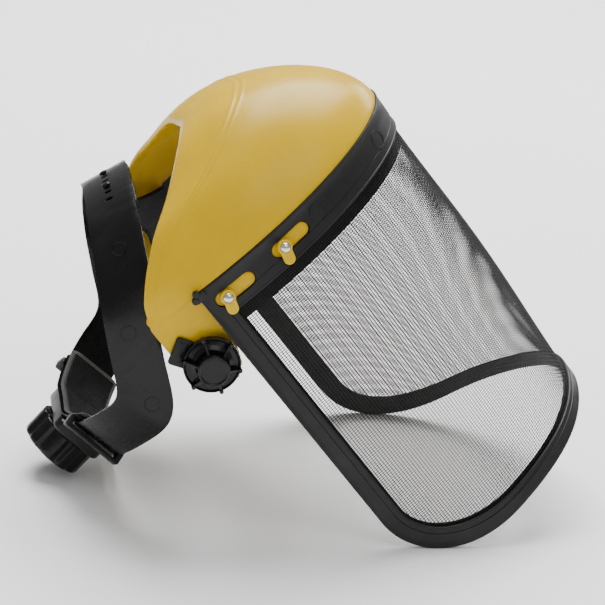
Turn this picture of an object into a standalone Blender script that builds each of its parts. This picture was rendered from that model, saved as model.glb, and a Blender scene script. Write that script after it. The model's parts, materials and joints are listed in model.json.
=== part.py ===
"""Face shield: a hinged brow guard with a woven wire visor, worn on a ratchet headgear.

Everything is first modelled as worn: +Y forward, +Z up, +X to the wearer's right, with the
origin midway between the visor's two rear top corners. The empty "rest" then lays the whole
shield down on its visor corners and its ratchet knob, with the box's bottom centre at zero.
Lengths are metres.
"""
import math

import bmesh
import bpy
from mathutils import Matrix, Vector

MM = 0.001
GAP = 0.3 * MM

# visor: a flared half ellipse in plan
VISOR_HALF_WIDTH = 99.8 * MM
VISOR_REACH = 147.7 * MM
FLARE_DEPTH = 200 * MM
WIDTH_FLARE = 0.067
REACH_FLARE = -0.036
VISOR_DROP = 231.5 * MM
CORNER_DROP = 179.5 * MM
CORNER_START = 0.62
FRONT_RISE = 5 * MM
BAND_HEIGHT = 22 * MM
RAIL_WIDTH = 13 * MM
BOW_WIDTH = 11 * MM
RETAINER_BAND_SHOW = 8 * MM
RETAINER_SHOW = 1.5 * MM
MESH_BULGE = 2.5 * MM
EDGE_STEPS = 20
BOW_STEPS = 14
FRAME_FACE = 0.0
FRAME_BACK = -2.2 * MM
MESH_FACE = -2.5 * MM
MESH_THICKNESS = 0.4 * MM
RETAINER_FACE = -3.2 * MM
RETAINER_BACK = -4.8 * MM
LUG_X = 100.4 * MM

# brow guard
SKIRT_FACE = -5.1 * MM
SKIRT_DROP = 18 * MM
SHELL_THICKNESS = 2.0 * MM
LEDGE_RISE = 0.35 * MM
DOME_FACE = -1.0 * MM
DOME_ROWS = 8
PIVOT_Y = -18 * MM
PIVOT_Z = -39 * MM
EAR_X = 93.4 * MM
PLATE_X = EAR_X + 1.0 * MM
PLATE_THICKNESS = 1.6 * MM

# visor fastenings: distance from the rear corner along the band, height, slot offset
RIVET_PLACES = {"rear": (13.5 * MM, -12 * MM), "front": (55.5 * MM, -11 * MM)}
SLOT_LENGTH = 27 * MM
SLOT_WIDTH = 9 * MM
SLOT_SHIFT = 6 * MM
PAD_CLEARANCE = 0.4 * MM
TAB_LEAN = math.radians(15)
TAB_BASE_RADIUS = 4.7 * MM
TAB_HALF_WIDTH = 3.4 * MM
TAB_REACH = 10.5 * MM
TAB_THICKNESS = 2.6 * MM
RIVET_SHANK = 1.3 * MM
RIVET_HEAD = 2.9 * MM

# headgear
HEAD_HALF_WIDTH = 78.8 * MM
STRAP_THICKNESS = 1.6 * MM
STRAP_WIDTH = 30 * MM
CROWN_HEIGHT = 50 * MM
CROWN_BASE = 6 * MM
CROWN_Y = -10 * MM
CROWN_SWEEP = 30 * MM
CROWN_TILT = math.radians(7.5)
CROWN_LAYER = 1.2 * MM
NAPE_CENTRE_Y = -60 * MM
NAPE_REACH = 57.3 * MM
NAPE_Z = -43 * MM
NAPE_DROP = 10.4 * MM
TAIL_WIDTH = 32 * MM
TAIL_END_X = 8 * MM
BAND_FRONT = 92 * MM
BOLT_RADIUS = 3.0 * MM
BOLT_HOLE = 3.3 * MM

# ratchet, in its own frame: z runs backwards out of the nape, y up across the strap
RATCHET_LEAN = math.radians(9)
CORNER_LEAN = math.radians(14.5)
RATCHET_HALF_LENGTH = 27 * MM
RATCHET_HALF_HEIGHT = 20 * MM
PINION_TEETH = 10
TOOTH_PITCH = 3.14 * MM
PITCH_RADIUS = PINION_TEETH * TOOTH_PITCH / (2 * math.pi)
TOOTH_HEIGHT = 0.8 * MM
RATCHET_KNOB_RADIUS = 21 * MM
RATCHET_KNOB_BACK = 25.5 * MM
KNOB_FLUTES = 10

YELLOW = (0.72, 0.43, 0.002)
BLACK = (0.012, 0.012, 0.013)
DARK = (0.02, 0.02, 0.021)
GREY = (0.06, 0.06, 0.062)
STEEL = (0.6, 0.6, 0.62)

SIDES = {"right": 1, "left": -1}


def clear_scene():
    for piece in list(bpy.data.objects):
        bpy.data.objects.remove(piece)


def collection(name):
    made = bpy.data.collections.new(name)
    bpy.context.scene.collection.children.link(made)
    return made


def material(name, colour, roughness, metallic=0.0):
    made = bpy.data.materials.new(name)
    made.use_nodes = True
    shader = made.node_tree.nodes["Principled BSDF"]
    shader.inputs["Base Color"].default_value = (*colour, 1)
    shader.inputs["Roughness"].default_value = roughness
    shader.inputs["Metallic"].default_value = metallic
    return made


def add(name, mesh, look, frame=Matrix.Identity(4)):
    """Links a mesh as a named sub-part, with a material of its own."""
    piece = bpy.data.objects.new(name, mesh)
    piece.matrix_world = frame
    PARTS.objects.link(piece)
    colour, roughness, metallic = look
    mesh.materials.append(material(name, colour, roughness, metallic))
    return piece


def hang(piece, parent):
    """Parents a piece without moving it."""
    bpy.context.view_layer.update()
    piece.parent = parent
    piece.matrix_parent_inverse = parent.matrix_world.inverted()


def set_origin(piece, point):
    """Moves a piece's origin to a point and leaves its shape where it is."""
    shift = Vector(point) - piece.matrix_world.translation
    piece.data.transform(Matrix.Translation(-(piece.matrix_world.to_3x3().inverted() @ shift)))
    piece.matrix_world.translation = Vector(point)


def sheet(rows):
    """An open surface of quads through rows of points."""
    shape = bmesh.new()
    grid = [[shape.verts.new(point) for point in row] for row in rows]
    for low, high in zip(grid, grid[1:]):
        for a, b, c, d in zip(low, low[1:], high[1:], high):
            shape.faces.new((a, b, c, d))
    return shape


def to_mesh(shape, name, weld=0.01 * MM):
    bmesh.ops.remove_doubles(shape, verts=shape.verts, dist=weld)
    mesh = bpy.data.meshes.new(name)
    shape.to_mesh(mesh)
    shape.free()
    return mesh


def solidify(piece, thickness, offset=-1.0):
    wall = piece.modifiers.new("wall", "SOLIDIFY")
    wall.thickness = thickness
    wall.offset = offset
    wall.use_even_offset = True


def subdivide(piece, levels):
    smooth = piece.modifiers.new("smooth", "SUBSURF")
    smooth.levels = levels
    smooth.render_levels = levels
    smooth.boundary_smooth = "PRESERVE_CORNERS"


def mirror(piece):
    half = piece.modifiers.new("mirror", "MIRROR")
    half.use_clip = True
    half.merge_threshold = 0.05 * MM


def boolean(piece, tool, operation="DIFFERENCE"):
    step = piece.modifiers.new(tool.name, "BOOLEAN")
    step.operation = operation
    step.object = tool


def cutter(piece):
    """Moves a piece to the cutters, which only shape other pieces."""
    PARTS.objects.unlink(piece)
    CUTTERS.objects.link(piece)
    piece.hide_render = True
    piece.display_type = "WIRE"
    hang(piece, REST)
    return piece


def turned(name, profile, look, frame, steps=24, closed=False):
    """A solid of revolution about the frame's Z, from (radius, height) points, top first."""
    mesh = bpy.data.meshes.new(name)
    edges = [(i, i + 1) for i in range(len(profile) - 1)]
    if closed:
        edges.append((len(profile) - 1, 0))
    mesh.from_pydata([(radius, 0, height) for radius, height in profile], edges, [])
    piece = add(name, mesh, look, frame)
    screw = piece.modifiers.new("turn", "SCREW")
    screw.steps = steps
    screw.render_steps = steps
    screw.use_merge_vertices = True
    screw.merge_threshold = 0.01 * MM
    return piece


def plate(name, outlines, thickness, look, frame):
    """A flat plate about the frame's XY plane; the first outline is its edge, others are holes."""
    curve = bpy.data.curves.new(name, "CURVE")
    curve.dimensions = "2D"
    curve.fill_mode = "BOTH"
    curve.extrude = thickness / 2
    for outline in outlines:
        spline = curve.splines.new("POLY")
        spline.points.add(len(outline) - 1)
        spline.use_cyclic_u = True
        for point, (x, y) in zip(spline.points, outline):
            point.co = (x, y, 0, 1)
    drawn = bpy.data.objects.new(name, curve)
    PARTS.objects.link(drawn)
    bpy.context.view_layer.update()
    mesh = bpy.data.meshes.new_from_object(drawn.evaluated_get(bpy.context.evaluated_depsgraph_get()))
    bpy.data.objects.remove(drawn)
    shape = bmesh.new()
    shape.from_mesh(mesh)
    bmesh.ops.remove_doubles(shape, verts=shape.verts, dist=0.005 * MM)
    shape.to_mesh(mesh)
    shape.free()
    return add(name, mesh, look, frame)


def arc(radius, start, end, steps, centre=(0, 0)):
    angles = [start + (end - start) * i / steps for i in range(steps + 1)]
    return [(centre[0] + radius * math.cos(a), centre[1] + radius * math.sin(a)) for a in angles]


def circle(radius, steps=20):
    return arc(radius, 0, 2 * math.pi, steps)[:-1]


def stadium(length, width, steps=8):
    reach = (length - width) / 2
    quarter = math.pi / 2
    right = arc(width / 2, -quarter, quarter, steps, (reach, 0))
    left = arc(width / 2, quarter, 3 * quarter, steps, (-reach, 0))
    return right + left


def rounded_box(half_x, half_y, radius, steps=3):
    points = []
    for i, (sx, sy) in enumerate(((1, 1), (-1, 1), (-1, -1), (1, -1))):
        start = i * math.pi / 2
        centre = (sx * (half_x - radius), sy * (half_y - radius))
        points += arc(radius, start, start + math.pi / 2, steps, centre)
    return points


def frame_at(origin, z_axis, x_axis):
    """A placing matrix from an origin, its Z direction and a rough X direction."""
    z_dir = Vector(z_axis).normalized()
    y_dir = z_dir.cross(Vector(x_axis)).normalized()
    x_dir = y_dir.cross(z_dir)
    turn = Matrix((x_dir, y_dir, z_dir)).transposed()
    return Matrix.Translation(origin) @ turn.to_4x4()


def smooth_through(keys, position):
    """A smooth curve through (position, value tuple) keys."""
    last = len(keys) - 1
    i = next((k for k in range(last) if position <= keys[k + 1][0]), last - 1)
    (t0, a), (t1, b) = keys[i], keys[i + 1]
    a, b = Vector(a), Vector(b)
    before_t, before = keys[max(i - 1, 0)]
    after_t, after = keys[min(i + 2, last)]
    slope_a = (b - Vector(before)) / (t1 - before_t)
    slope_b = (Vector(after) - a) / (after_t - t0)
    span = t1 - t0
    t = (position - t0) / span
    ease = t * t * (3 - 2 * t)
    return a.lerp(b, ease) + slope_a * span * t * (1 - t) ** 2 - slope_b * span * t * t * (1 - t)


# ---------------------------------------------------------------- the visor's surface

def arc_table(steps=360):
    """Pairs of angle and distance along the visor's top edge, from its front centre."""
    table = [(0.0, 0.0)]
    for i in range(1, steps + 1):
        angle = i * math.pi / 2 / steps
        middle = angle - math.pi / 4 / steps
        slope = math.hypot(VISOR_HALF_WIDTH * math.cos(middle), VISOR_REACH * math.sin(middle))
        table.append((angle, table[-1][1] + slope * math.pi / 2 / steps))
    return table


ARC_TABLE = arc_table()
HALF_LENGTH = ARC_TABLE[-1][1]


def visor_angle(along):
    """The plan angle at a signed distance along the top edge from the front centre."""
    distance = min(abs(along), HALF_LENGTH)
    i = next(k for k in range(1, len(ARC_TABLE)) if ARC_TABLE[k][1] >= distance - 1e-9)
    (a0, d0), (a1, d1) = ARC_TABLE[i - 1], ARC_TABLE[i]
    return math.copysign(a0 + (a1 - a0) * (distance - d0) / (d1 - d0), along)


def visor_normal(along, z):
    angle = visor_angle(along)
    drop = -z / FLARE_DEPTH
    width = VISOR_HALF_WIDTH * (1 + WIDTH_FLARE * drop)
    reach = VISOR_REACH * (1 + REACH_FLARE * drop)
    return Vector((math.sin(angle) / width, math.cos(angle) / reach, 0)).normalized()


def visor_point(along, z, out=0.0):
    """A point of the visor: along its curve, at a height, and out from its face."""
    angle = visor_angle(along)
    drop = -z / FLARE_DEPTH
    width = VISOR_HALF_WIDTH * (1 + WIDTH_FLARE * drop)
    reach = VISOR_REACH * (1 + REACH_FLARE * drop)
    face = Vector((width * math.sin(angle), reach * math.cos(angle), z))
    return face + visor_normal(along, z) * out


def visor_bottom(along):
    """Height of the visor's bottom edge: nearly level, raised in front, with round corners."""
    share = abs(along) / HALF_LENGTH
    if share < CORNER_START:
        return -VISOR_DROP + FRONT_RISE * math.cos(math.pi / 2 * share / CORNER_START) ** 6
    corner = (share - CORNER_START) / (1 - CORNER_START)
    return -CORNER_DROP - (VISOR_DROP - CORNER_DROP) * math.sqrt(max(0.0, 1 - corner ** 2.3))


def side_frame_at(side, x, y, z):
    """Frame on one side: Z points out of that side, X forwards."""
    return frame_at((side * x, y, z), (side, 0, 0), (0, 1, 0))


def frame_stations(shrink, grow, band_grow):
    """Outer and inner (along, z) points round the right half of a visor frame."""
    outer_reach = HALF_LENGTH - shrink
    inner_reach = HALF_LENGTH - RAIL_WIDTH - grow
    top = -shrink
    band = -BAND_HEIGHT - band_grow
    bow = BOW_WIDTH + grow
    stations = []
    for i in range(EDGE_STEPS + 1):
        along = inner_reach * i / EDGE_STEPS
        stations.append(((along, top), (along, band)))
    stations.append(((outer_reach, top), (inner_reach, band)))
    for z in (-45 * MM, -90 * MM, -135 * MM, -CORNER_DROP):
        stations.append(((outer_reach, z), (inner_reach, z)))
    corner_steps = 9
    for i in range(1, corner_steps + 1):
        swing = math.cos(i / corner_steps * math.pi / 2)
        share = CORNER_START + (1 - CORNER_START) * swing
        drop = -CORNER_DROP - visor_bottom(HALF_LENGTH * share)
        rounding = drop / (VISOR_DROP - CORNER_DROP)
        stations.append(((outer_reach * share, visor_bottom(HALF_LENGTH * share) + shrink * rounding),
                         (inner_reach * share, visor_bottom(HALF_LENGTH * share) + bow * rounding)))
    for i in range(1, BOW_STEPS + 1):
        share = CORNER_START * (1 - i / BOW_STEPS)
        low = visor_bottom(HALF_LENGTH * share)
        stations.append(((outer_reach * share, low + shrink), (inner_reach * share, low + bow)))
    return stations


def ring(name, profile, look, shrink=0.0, grow=0.0, band_grow=0.0):
    """A closed frame: a profile of (share across, out) points swept round the visor's edge."""
    shape = bmesh.new()
    loops = []
    for outer, inner in frame_stations(shrink, grow, band_grow):
        loop = []
        for share, out in profile:
            along, z = Vector(outer).lerp(Vector(inner), share)
            loop.append(shape.verts.new(visor_point(along, z, out)))
        loops.append(loop)
    for one, two in zip(loops, loops[1:]):
        for k in range(len(profile)):
            after = (k + 1) % len(profile)
            shape.faces.new((one[k], one[after], two[after], two[k]))
    bmesh.ops.recalc_face_normals(shape, faces=shape.faces)
    piece = add(name, to_mesh(shape, name), look)
    mirror(piece)
    hang(piece, BROW)
    return piece


def band_frame(side, distance, z, lift):
    """Frame on the visor's band: Z out of the band, X forwards along it."""
    along = side * distance
    forward = visor_point(along - side * MM, z) - visor_point(along, z)
    return frame_at(visor_point(along, z, lift), visor_normal(along, z), forward)


def rivet_frame(side, which, lift=0.0):
    """Frame of a visor fastening's rivet."""
    back, z = RIVET_PLACES[which]
    return band_frame(side, HALF_LENGTH - back, z, lift)


def slot_frame(side, which, lift=0.0):
    """Frame of a slot, whose middle lies a little forwards of its rivet."""
    back, z = RIVET_PLACES[which]
    return band_frame(side, HALF_LENGTH - back - SLOT_SHIFT, z, lift)


def slot_outline(shrink=0.0):
    return stadium(SLOT_LENGTH - 2 * shrink, SLOT_WIDTH - 2 * shrink)


def make_visor_frame():
    profile = [
        (0.0, FRAME_BACK),
        (0.0, FRAME_FACE - 0.6 * MM),
        (0.05, FRAME_FACE),
        (0.72, FRAME_FACE),
        (0.75, FRAME_FACE - 0.7 * MM),
        (1.0, FRAME_FACE - 0.7 * MM),
        (1.0, FRAME_BACK),
    ]
    piece = ring("visor_frame", profile, (DARK, 0.45, 0.0))
    for side_name, side in SIDES.items():
        for which in RIVET_PLACES:
            frame = slot_frame(side, which)
            name = f"slot_cut_{side_name}_{which}"
            boolean(piece, cutter(plate(name, [slot_outline()], 14 * MM, (DARK, 0.5, 0.0), frame)))
        lug = plate(f"frame_lug_{side_name}", [stadium(12 * MM, 6 * MM)], 2.4 * MM, (DARK, 0.5, 0.0),
                    side_frame_at(side, LUG_X, -1 * MM, -1.5 * MM))
        boolean(piece, cutter(lug), "UNION")
    return piece


def make_visor_retainer():
    profile = [(0.0, RETAINER_BACK), (0.0, RETAINER_FACE), (1.0, RETAINER_FACE), (1.0, RETAINER_BACK)]
    piece = ring("visor_retainer", profile, (BLACK, 0.5, 0.0), 1.5 * MM, RETAINER_SHOW,
                 RETAINER_BAND_SHOW)
    for side_name, side in SIDES.items():
        for which in RIVET_PLACES:
            boolean(piece, bpy.data.objects[f"slot_cut_{side_name}_{which}"])
    return piece


def make_visor_mesh():
    """The woven screen as one thin curved sheet, clamped between the frame and the retainer."""
    inset = 4 * MM
    rows = []
    row_count = 6
    for j in range(row_count + 1):
        row = []
        for i in range(EDGE_STEPS + 1):
            along = (HALF_LENGTH - inset) * i / EDGE_STEPS
            top = -BAND_HEIGHT + inset
            low = visor_bottom(along) + inset
            share = j / row_count
            bulge = MESH_BULGE * math.sin(math.pi * share) ** 2 * math.cos(math.pi / 2 * i / EDGE_STEPS)
            row.append(visor_point(along, top + (low - top) * share, MESH_FACE + bulge))
        rows.append(row)
    piece = add("visor_mesh", to_mesh(sheet(rows), "visor_mesh"), (GREY, 0.5, 0.6))
    mirror(piece)
    solidify(piece, MESH_THICKNESS)
    hang(piece, BROW)
    return piece


# ---------------------------------------------------------------- brow guard

ARCH_KEYS = [
    (0.0, (0.0, 44 * MM, 57 * MM)),
    (0.22, (31 * MM, 36 * MM, 55 * MM)),
    (0.46, (60 * MM, 16 * MM, 44 * MM)),
    (0.68, (80 * MM, -5 * MM, 33 * MM)),
    (0.88, (90.5 * MM, -26 * MM, 13 * MM)),
    (1.0, (EAR_X, -33 * MM, -3 * MM)),
]
EAR_ROWS = [
    (-18 * MM, 0.0, -33.4 * MM),
    (-30 * MM, 0.0, -33 * MM),
    (-42 * MM, -1 * MM, -32 * MM),
    (-51 * MM, -4.5 * MM, -29.5 * MM),
    (-57 * MM, -11 * MM, -24 * MM),
]


def dome_curve(share):
    """One line of the dome, from its ledge over the band up to the open rear arch."""
    start = visor_point(HALF_LENGTH * share, LEDGE_RISE, DOME_FACE)
    end = smooth_through(ARCH_KEYS, share)
    rise = math.cos(share * math.pi / 2) ** 0.75
    back = (end - start) * 0.33
    first = start + Vector((0, -1 * MM, 30 * MM)) * rise + back * (1 - rise)
    reach = Vector((start.x - end.x, start.y - end.y, 0)) * 0.45
    second = end + reach + Vector((0, 0, 13 * MM)) * rise
    points = []
    for i in range(DOME_ROWS + 1):
        t = i / DOME_ROWS
        k = 1 - t
        points.append(start * k ** 3 + first * 3 * k * k * t + second * 3 * k * t * t + end * t ** 3)
    return points


def ear_rows():
    """Rows of the flat ear round the pivot, from the crease at its top to its round foot."""
    crease_end = dome_curve(1.0)[-1]
    inner = visor_point(HALF_LENGTH, LEDGE_RISE, SKIRT_FACE)
    rows = [[inner.lerp(crease_end, i / DOME_ROWS) for i in range(DOME_ROWS + 1)]]
    middle = visor_point(HALF_LENGTH, -SKIRT_DROP / 2, SKIRT_FACE)
    rows.append([middle.lerp(Vector((EAR_X, -33.4 * MM, -14 * MM)), i / DOME_ROWS)
                 for i in range(DOME_ROWS + 1)])
    for z, front, rear in EAR_ROWS:
        start = visor_point(HALF_LENGTH, z, SKIRT_FACE)
        edge = start.x if z == -SKIRT_DROP else EAR_X
        low = Vector((edge, front, z))
        high = Vector((EAR_X, rear, z))
        rows.append([low.lerp(high, i / DOME_ROWS) for i in range(DOME_ROWS + 1)])
    return rows


def make_brow_guard():
    columns = []
    shares = [(1 - RAIL_WIDTH / HALF_LENGTH) * i / EDGE_STEPS for i in range(EDGE_STEPS + 1)] + [1.0]
    for share in shares:
        along = HALF_LENGTH * share
        column = [visor_point(along, -SKIRT_DROP, SKIRT_FACE)]
        column.append(visor_point(along, -SKIRT_DROP / 2, SKIRT_FACE))
        column.append(visor_point(along, LEDGE_RISE, SKIRT_FACE))
        column += dome_curve(share)
        columns.append(column)
    shape = sheet(columns)
    ear = ear_rows()
    ledge = [dome_curve(1.0), ear[0]]
    for rows in (ledge, ear):
        extra = sheet(rows)
        mesh = to_mesh(extra, "ear")
        shape.from_mesh(mesh)
        bpy.data.meshes.remove(mesh)
    bmesh.ops.remove_doubles(shape, verts=shape.verts, dist=0.02 * MM)
    bmesh.ops.recalc_face_normals(shape, faces=shape.faces)
    front = max(shape.faces, key=lambda face: face.calc_center_median().y)
    if front.normal.y < 0:
        bmesh.ops.reverse_faces(shape, faces=shape.faces)
    piece = add("brow_guard", to_mesh(shape, "brow_guard"), (YELLOW, 0.22, 0.0))
    mirror(piece)
    solidify(piece, SHELL_THICKNESS)
    for side_name, side in SIDES.items():
        for which in RIVET_PLACES:
            top = FRAME_FACE - 0.2 * MM
            height = top - (SKIRT_FACE - 1 * MM)
            frame = slot_frame(side, which, top - height / 2)
            name = f"slot_pad_{side_name}_{which}"
            pad = cutter(plate(name, [slot_outline(PAD_CLEARANCE)], height, (YELLOW, 0.3, 0.0), frame))
            boolean(piece, pad, "UNION")
    for side_name, side in SIDES.items():
        for which in RIVET_PLACES:
            hole = turned(f"rivet_cut_{side_name}_{which}", rod(1.6 * MM, 8 * MM, -12 * MM),
                          (STEEL, 0.3, 1.0), rivet_frame(side, which), 12)
            boolean(piece, cutter(hole))
        boolean(piece, bpy.data.objects[f"pivot_cut_{side_name}"])
    hang(piece, BROW)
    return piece


def rod(radius, top, bottom):
    return [(0, top), (radius, top), (radius, bottom), (0, bottom)]


def make_rivets_and_tabs():
    for side_name, side in SIDES.items():
        for which in RIVET_PLACES:
            frame = rivet_frame(side, which)
            seat = GAP + TAB_THICKNESS + GAP
            shank_end = SKIRT_FACE - SHELL_THICKNESS - GAP
            dome = [(RIVET_HEAD * math.sin(a), seat + 2.3 * MM * math.cos(a))
                    for a in (0, 0.5, 0.9, 1.25, math.pi / 2)]
            profile = dome + [(RIVET_SHANK, seat), (RIVET_SHANK, shank_end),
                              (2.2 * MM, shank_end), (2.2 * MM, shank_end - 0.8 * MM),
                              (0, shank_end - 0.8 * MM)]
            rivet = turned(f"rivet_{side_name}_{which}", profile, (STEEL, 0.25, 1.0), frame, 12)
            hang(rivet, BROW)
            tail_start = math.acos(TAB_HALF_WIDTH / TAB_BASE_RADIUS)
            base = arc(TAB_BASE_RADIUS, -tail_start, math.pi + tail_start, 12)
            tip = arc(TAB_HALF_WIDTH, math.pi, 2 * math.pi, 8, (0, -TAB_REACH + TAB_HALF_WIDTH))
            hole = circle(1.6 * MM, 12)
            lean = Matrix.Rotation(-side * TAB_LEAN, 4, "Z")
            flip = Matrix.Identity(4) if side > 0 else Matrix.Rotation(math.pi, 4, "Z")
            lift = Matrix.Translation((0, 0, GAP + TAB_THICKNESS / 2))
            name = f"turn_tab_{side_name}_{which}"
            tab = plate(name, [base + tip, hole], TAB_THICKNESS, (YELLOW, 0.25, 0.0),
                        frame @ lift @ flip @ lean)
            hang(tab, BROW)


# ---------------------------------------------------------------- headgear straps

def crown_point(side, angle, offset):
    """Middle of the crown strap and its across direction; angle 0 is the top of the head."""
    swing = math.sin(angle)
    level = math.cos(angle)
    layer = offset * max(0.0, min(1.0, (math.radians(60) - abs(angle)) / math.radians(20)))
    centre = Vector((side * (HEAD_HALF_WIDTH + layer) * swing,
                     CROWN_Y - CROWN_SWEEP * (1 - level),
                     CROWN_BASE + (CROWN_HEIGHT + layer) * level))
    along = Vector((HEAD_HALF_WIDTH * level, -CROWN_SWEEP * swing, -CROWN_HEIGHT * swing))
    normal = Vector((swing, math.sin(CROWN_TILT) * level, level))
    across = normal.cross(along).normalized()
    return centre, Vector((side * across.x, across.y, across.z))


def nape_middle(side, angle, inset=0.0):
    """Middle of the strap round the nape, or of a layer inside it; 90 degrees is the centre."""
    turn = min(1.0, 1.045 * math.sin(angle))
    return Vector((side * (HEAD_HALF_WIDTH - inset) * math.cos(angle),
                   NAPE_CENTRE_Y - (NAPE_REACH - inset) * turn,
                   NAPE_Z - NAPE_DROP * math.sin(angle)))


def nape_across(angle):
    """The strap's across direction, which leans less as it nears the ratchet."""
    steepness = max(0.0, 1 - abs(math.sin(angle)) / math.sin(math.radians(60)))
    lean = RATCHET_LEAN + (CORNER_LEAN - RATCHET_LEAN) * steepness
    return Vector((0, -math.sin(lean), math.cos(lean)))


def side_points(side, pairs):
    return [Vector((side * HEAD_HALF_WIDTH, y * MM, z * MM)) for y, z in pairs]


def side_strap_arms(side, offset):
    """Pairs of edges of one side strap: crown half to nape tail, front arm, and pivot lug."""
    front = []
    rear = []
    for degrees in (-28, -21, -14, -7, 0, 7, 14, 21, 28, 35, 42, 56, 71, 90):
        centre, across = crown_point(side, math.radians(degrees), offset)
        front.append(centre + across * STRAP_WIDTH / 2)
        rear.append(centre - across * STRAP_WIDTH / 2)
    arm_top, arm_foot = front[-2:]
    corner = side_points(side, [(-74, -30)])[0]
    front += side_points(side, [(-33.2, -13.9), (-39.7, -25.9)])
    rear += side_points(side, [(-59.8, -0.1), (-66.3, -12.1)])
    front += side_points(side, [(-47.5, -43.5), (-51.5, -50.5), (-56, -56), (-61.5, -59.6), (-68, -61.3)])
    rear += [corner] * 5
    for degrees in (24, 38, 52, 64, 74, 84):
        middle = nape_middle(side, math.radians(degrees))
        if degrees == 84:
            middle.x = side * TAIL_END_X
        across = nape_across(math.radians(degrees)) * TAIL_WIDTH / 2
        front.append(middle - across)
        rear.append(middle + across)
    upper = [arm_top] + side_points(side, [(-6, 12), (7, 9.5), (20, 10), (34, 12)])
    lower = [arm_foot] + side_points(side, [(-18, -5.5), (-5, -5), (12, -6), (30, -6)])
    lug_rear = [lower[1]] + side_points(side, [(-29, -27), (-31, -43), (-25, -54)])
    lug_front = [lower[2]] + side_points(side, [(-6, -27), (-5, -43), (-11, -54)])
    return [(front, rear), (upper, lower), (lug_rear, lug_front)]


def make_side_strap(side_name, side, offset):
    shape = bmesh.new()
    for one, two in side_strap_arms(side, offset):
        for a, b, c, d in zip(one, one[1:], two[1:], two):
            corners = [a, b, c] if (c - d).length < 1e-7 else [a, b, c, d]
            shape.faces.new([shape.verts.new(point) for point in corners])
    bmesh.ops.remove_doubles(shape, verts=shape.verts, dist=0.02 * MM)
    bmesh.ops.recalc_face_normals(shape, faces=shape.faces)
    name = f"side_strap_{side_name}"
    piece = add(name, to_mesh(shape, name), (BLACK, 0.25, 0.0))
    subdivide(piece, 1)
    solidify(piece, STRAP_THICKNESS, 0.0)
    boolean(piece, bpy.data.objects[f"pivot_cut_{side_name}"])
    hang(piece, REST)
    return piece


def crown_frame(side, degrees, lift):
    centre, across = crown_point(side, math.radians(degrees), 0)
    ahead = crown_point(side, math.radians(degrees + 1), 0)[0] - centre
    normal = ahead.cross(across) * side
    if normal.z < 0:
        normal.negate()
    return frame_at(centre + normal.normalized() * lift, normal, ahead)


def make_crown_fittings(outer, inner):
    """Adjusting slots in the outer crown strap and the two pegs of the inner one."""
    for i in range(8):
        frame = crown_frame(1, -21 + i * 6, 0)
        name = f"crown_slot_{i}"
        slot = cutter(plate(name, [stadium(4.6 * MM, 2.6 * MM, 4)], 4.4 * MM, (BLACK, 0.4, 0.0),
                            frame @ Matrix.Translation((0, 0, 1.9 * MM))
                            @ Matrix.Rotation(math.pi / 2, 4, "Z")))
        boolean(outer, slot)
    for name, degrees in (("crown_peg_right", 9), ("crown_peg_left", -9)):
        profile = [(0, 3.7 * MM), (2.4 * MM, 3.4 * MM), (2.4 * MM, 2.25 * MM), (0.95 * MM, 2.25 * MM),
                   (0.95 * MM, -0.2 * MM), (0, -0.2 * MM)]
        peg = turned(name, profile, (BLACK, 0.4, 0.0), crown_frame(1, degrees, 0), 12)
        hang(peg, REST)


def band_path(degrees, inset):
    """Plan point of the forehead band; 0 degrees is the right temple and 90 the forehead."""
    angle = math.radians(degrees)
    return Vector(((HEAD_HALF_WIDTH - inset) * math.cos(angle),
                   (BAND_FRONT - inset) * math.sin(angle), 0))


def make_wrapped_band(name, inset, thickness, start, rise, height, look):
    """A strip bent round the forehead, taller in the middle than at its ends."""
    rows = [[], [], []]
    steps = 28
    for i in range(steps + 1):
        degrees = start + (180 - 2 * start) * i / steps
        point = band_path(degrees, inset)
        middle = math.sin(math.radians(degrees))
        low = -5 * MM + rise * middle
        top = low + height * (0.6 + 0.4 * middle)
        for row, z in zip(rows, (low, (low + top) / 2, top)):
            row.append(Vector((point.x, point.y, z)))
    piece = add(name, to_mesh(sheet(rows), name), look)
    solidify(piece, thickness, 0.0)
    hang(piece, REST)
    return piece


def nape_sheet(name, inset, half_height, start, thickness, look):
    """A curved layer between the strap's tails and the wearer's nape."""
    rows = []
    steps = 22
    for share in (-1, 0, 1):
        row = []
        for i in range(steps + 1):
            angle = math.radians(start + (180 - 2 * start) * i / steps)
            row.append(nape_middle(1, angle, inset) + nape_across(angle) * share * half_height)
        rows.append(row)
    piece = add(name, to_mesh(sheet(rows), name), look)
    solidify(piece, thickness, 0.0)
    hang(piece, REST)
    return piece


def make_nape_plate():
    """Hard plate that carries the ratchet, with a loop at each end for the strap's tail."""
    piece = nape_sheet("nape_plate", 3.2 * MM, 19 * MM, 46, 1.4 * MM, (BLACK, 0.35, 0.0))
    angle = math.radians(53)
    for side_name, side in SIDES.items():
        along = nape_middle(side, angle + 0.02) - nape_middle(side, angle - 0.02)
        frame = frame_at(nape_middle(side, angle), along, nape_across(angle))
        loop = plate(f"strap_loop_{side_name}",
                     [rounded_box(20.5 * MM, 4.1 * MM, 1 * MM), rounded_box(16.9 * MM, 1.6 * MM, 0.4 * MM, 1)],
                     5 * MM, (BLACK, 0.35, 0.0), frame)
        boolean(piece, cutter(loop), "UNION")
    return piece


# ---------------------------------------------------------------- pivots and side knobs

def side_frame(side, x):
    """Frame on the pivot's axis."""
    return side_frame_at(side, x, PIVOT_Y, PIVOT_Z)


def make_pivot_cuts():
    for side_name, side in SIDES.items():
        hole = turned(f"pivot_cut_{side_name}", rod(BOLT_HOLE, 60 * MM, -40 * MM), (STEEL, 0.3, 1.0),
                      side_frame(side, 70 * MM), 20)
        cutter(hole)


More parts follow.
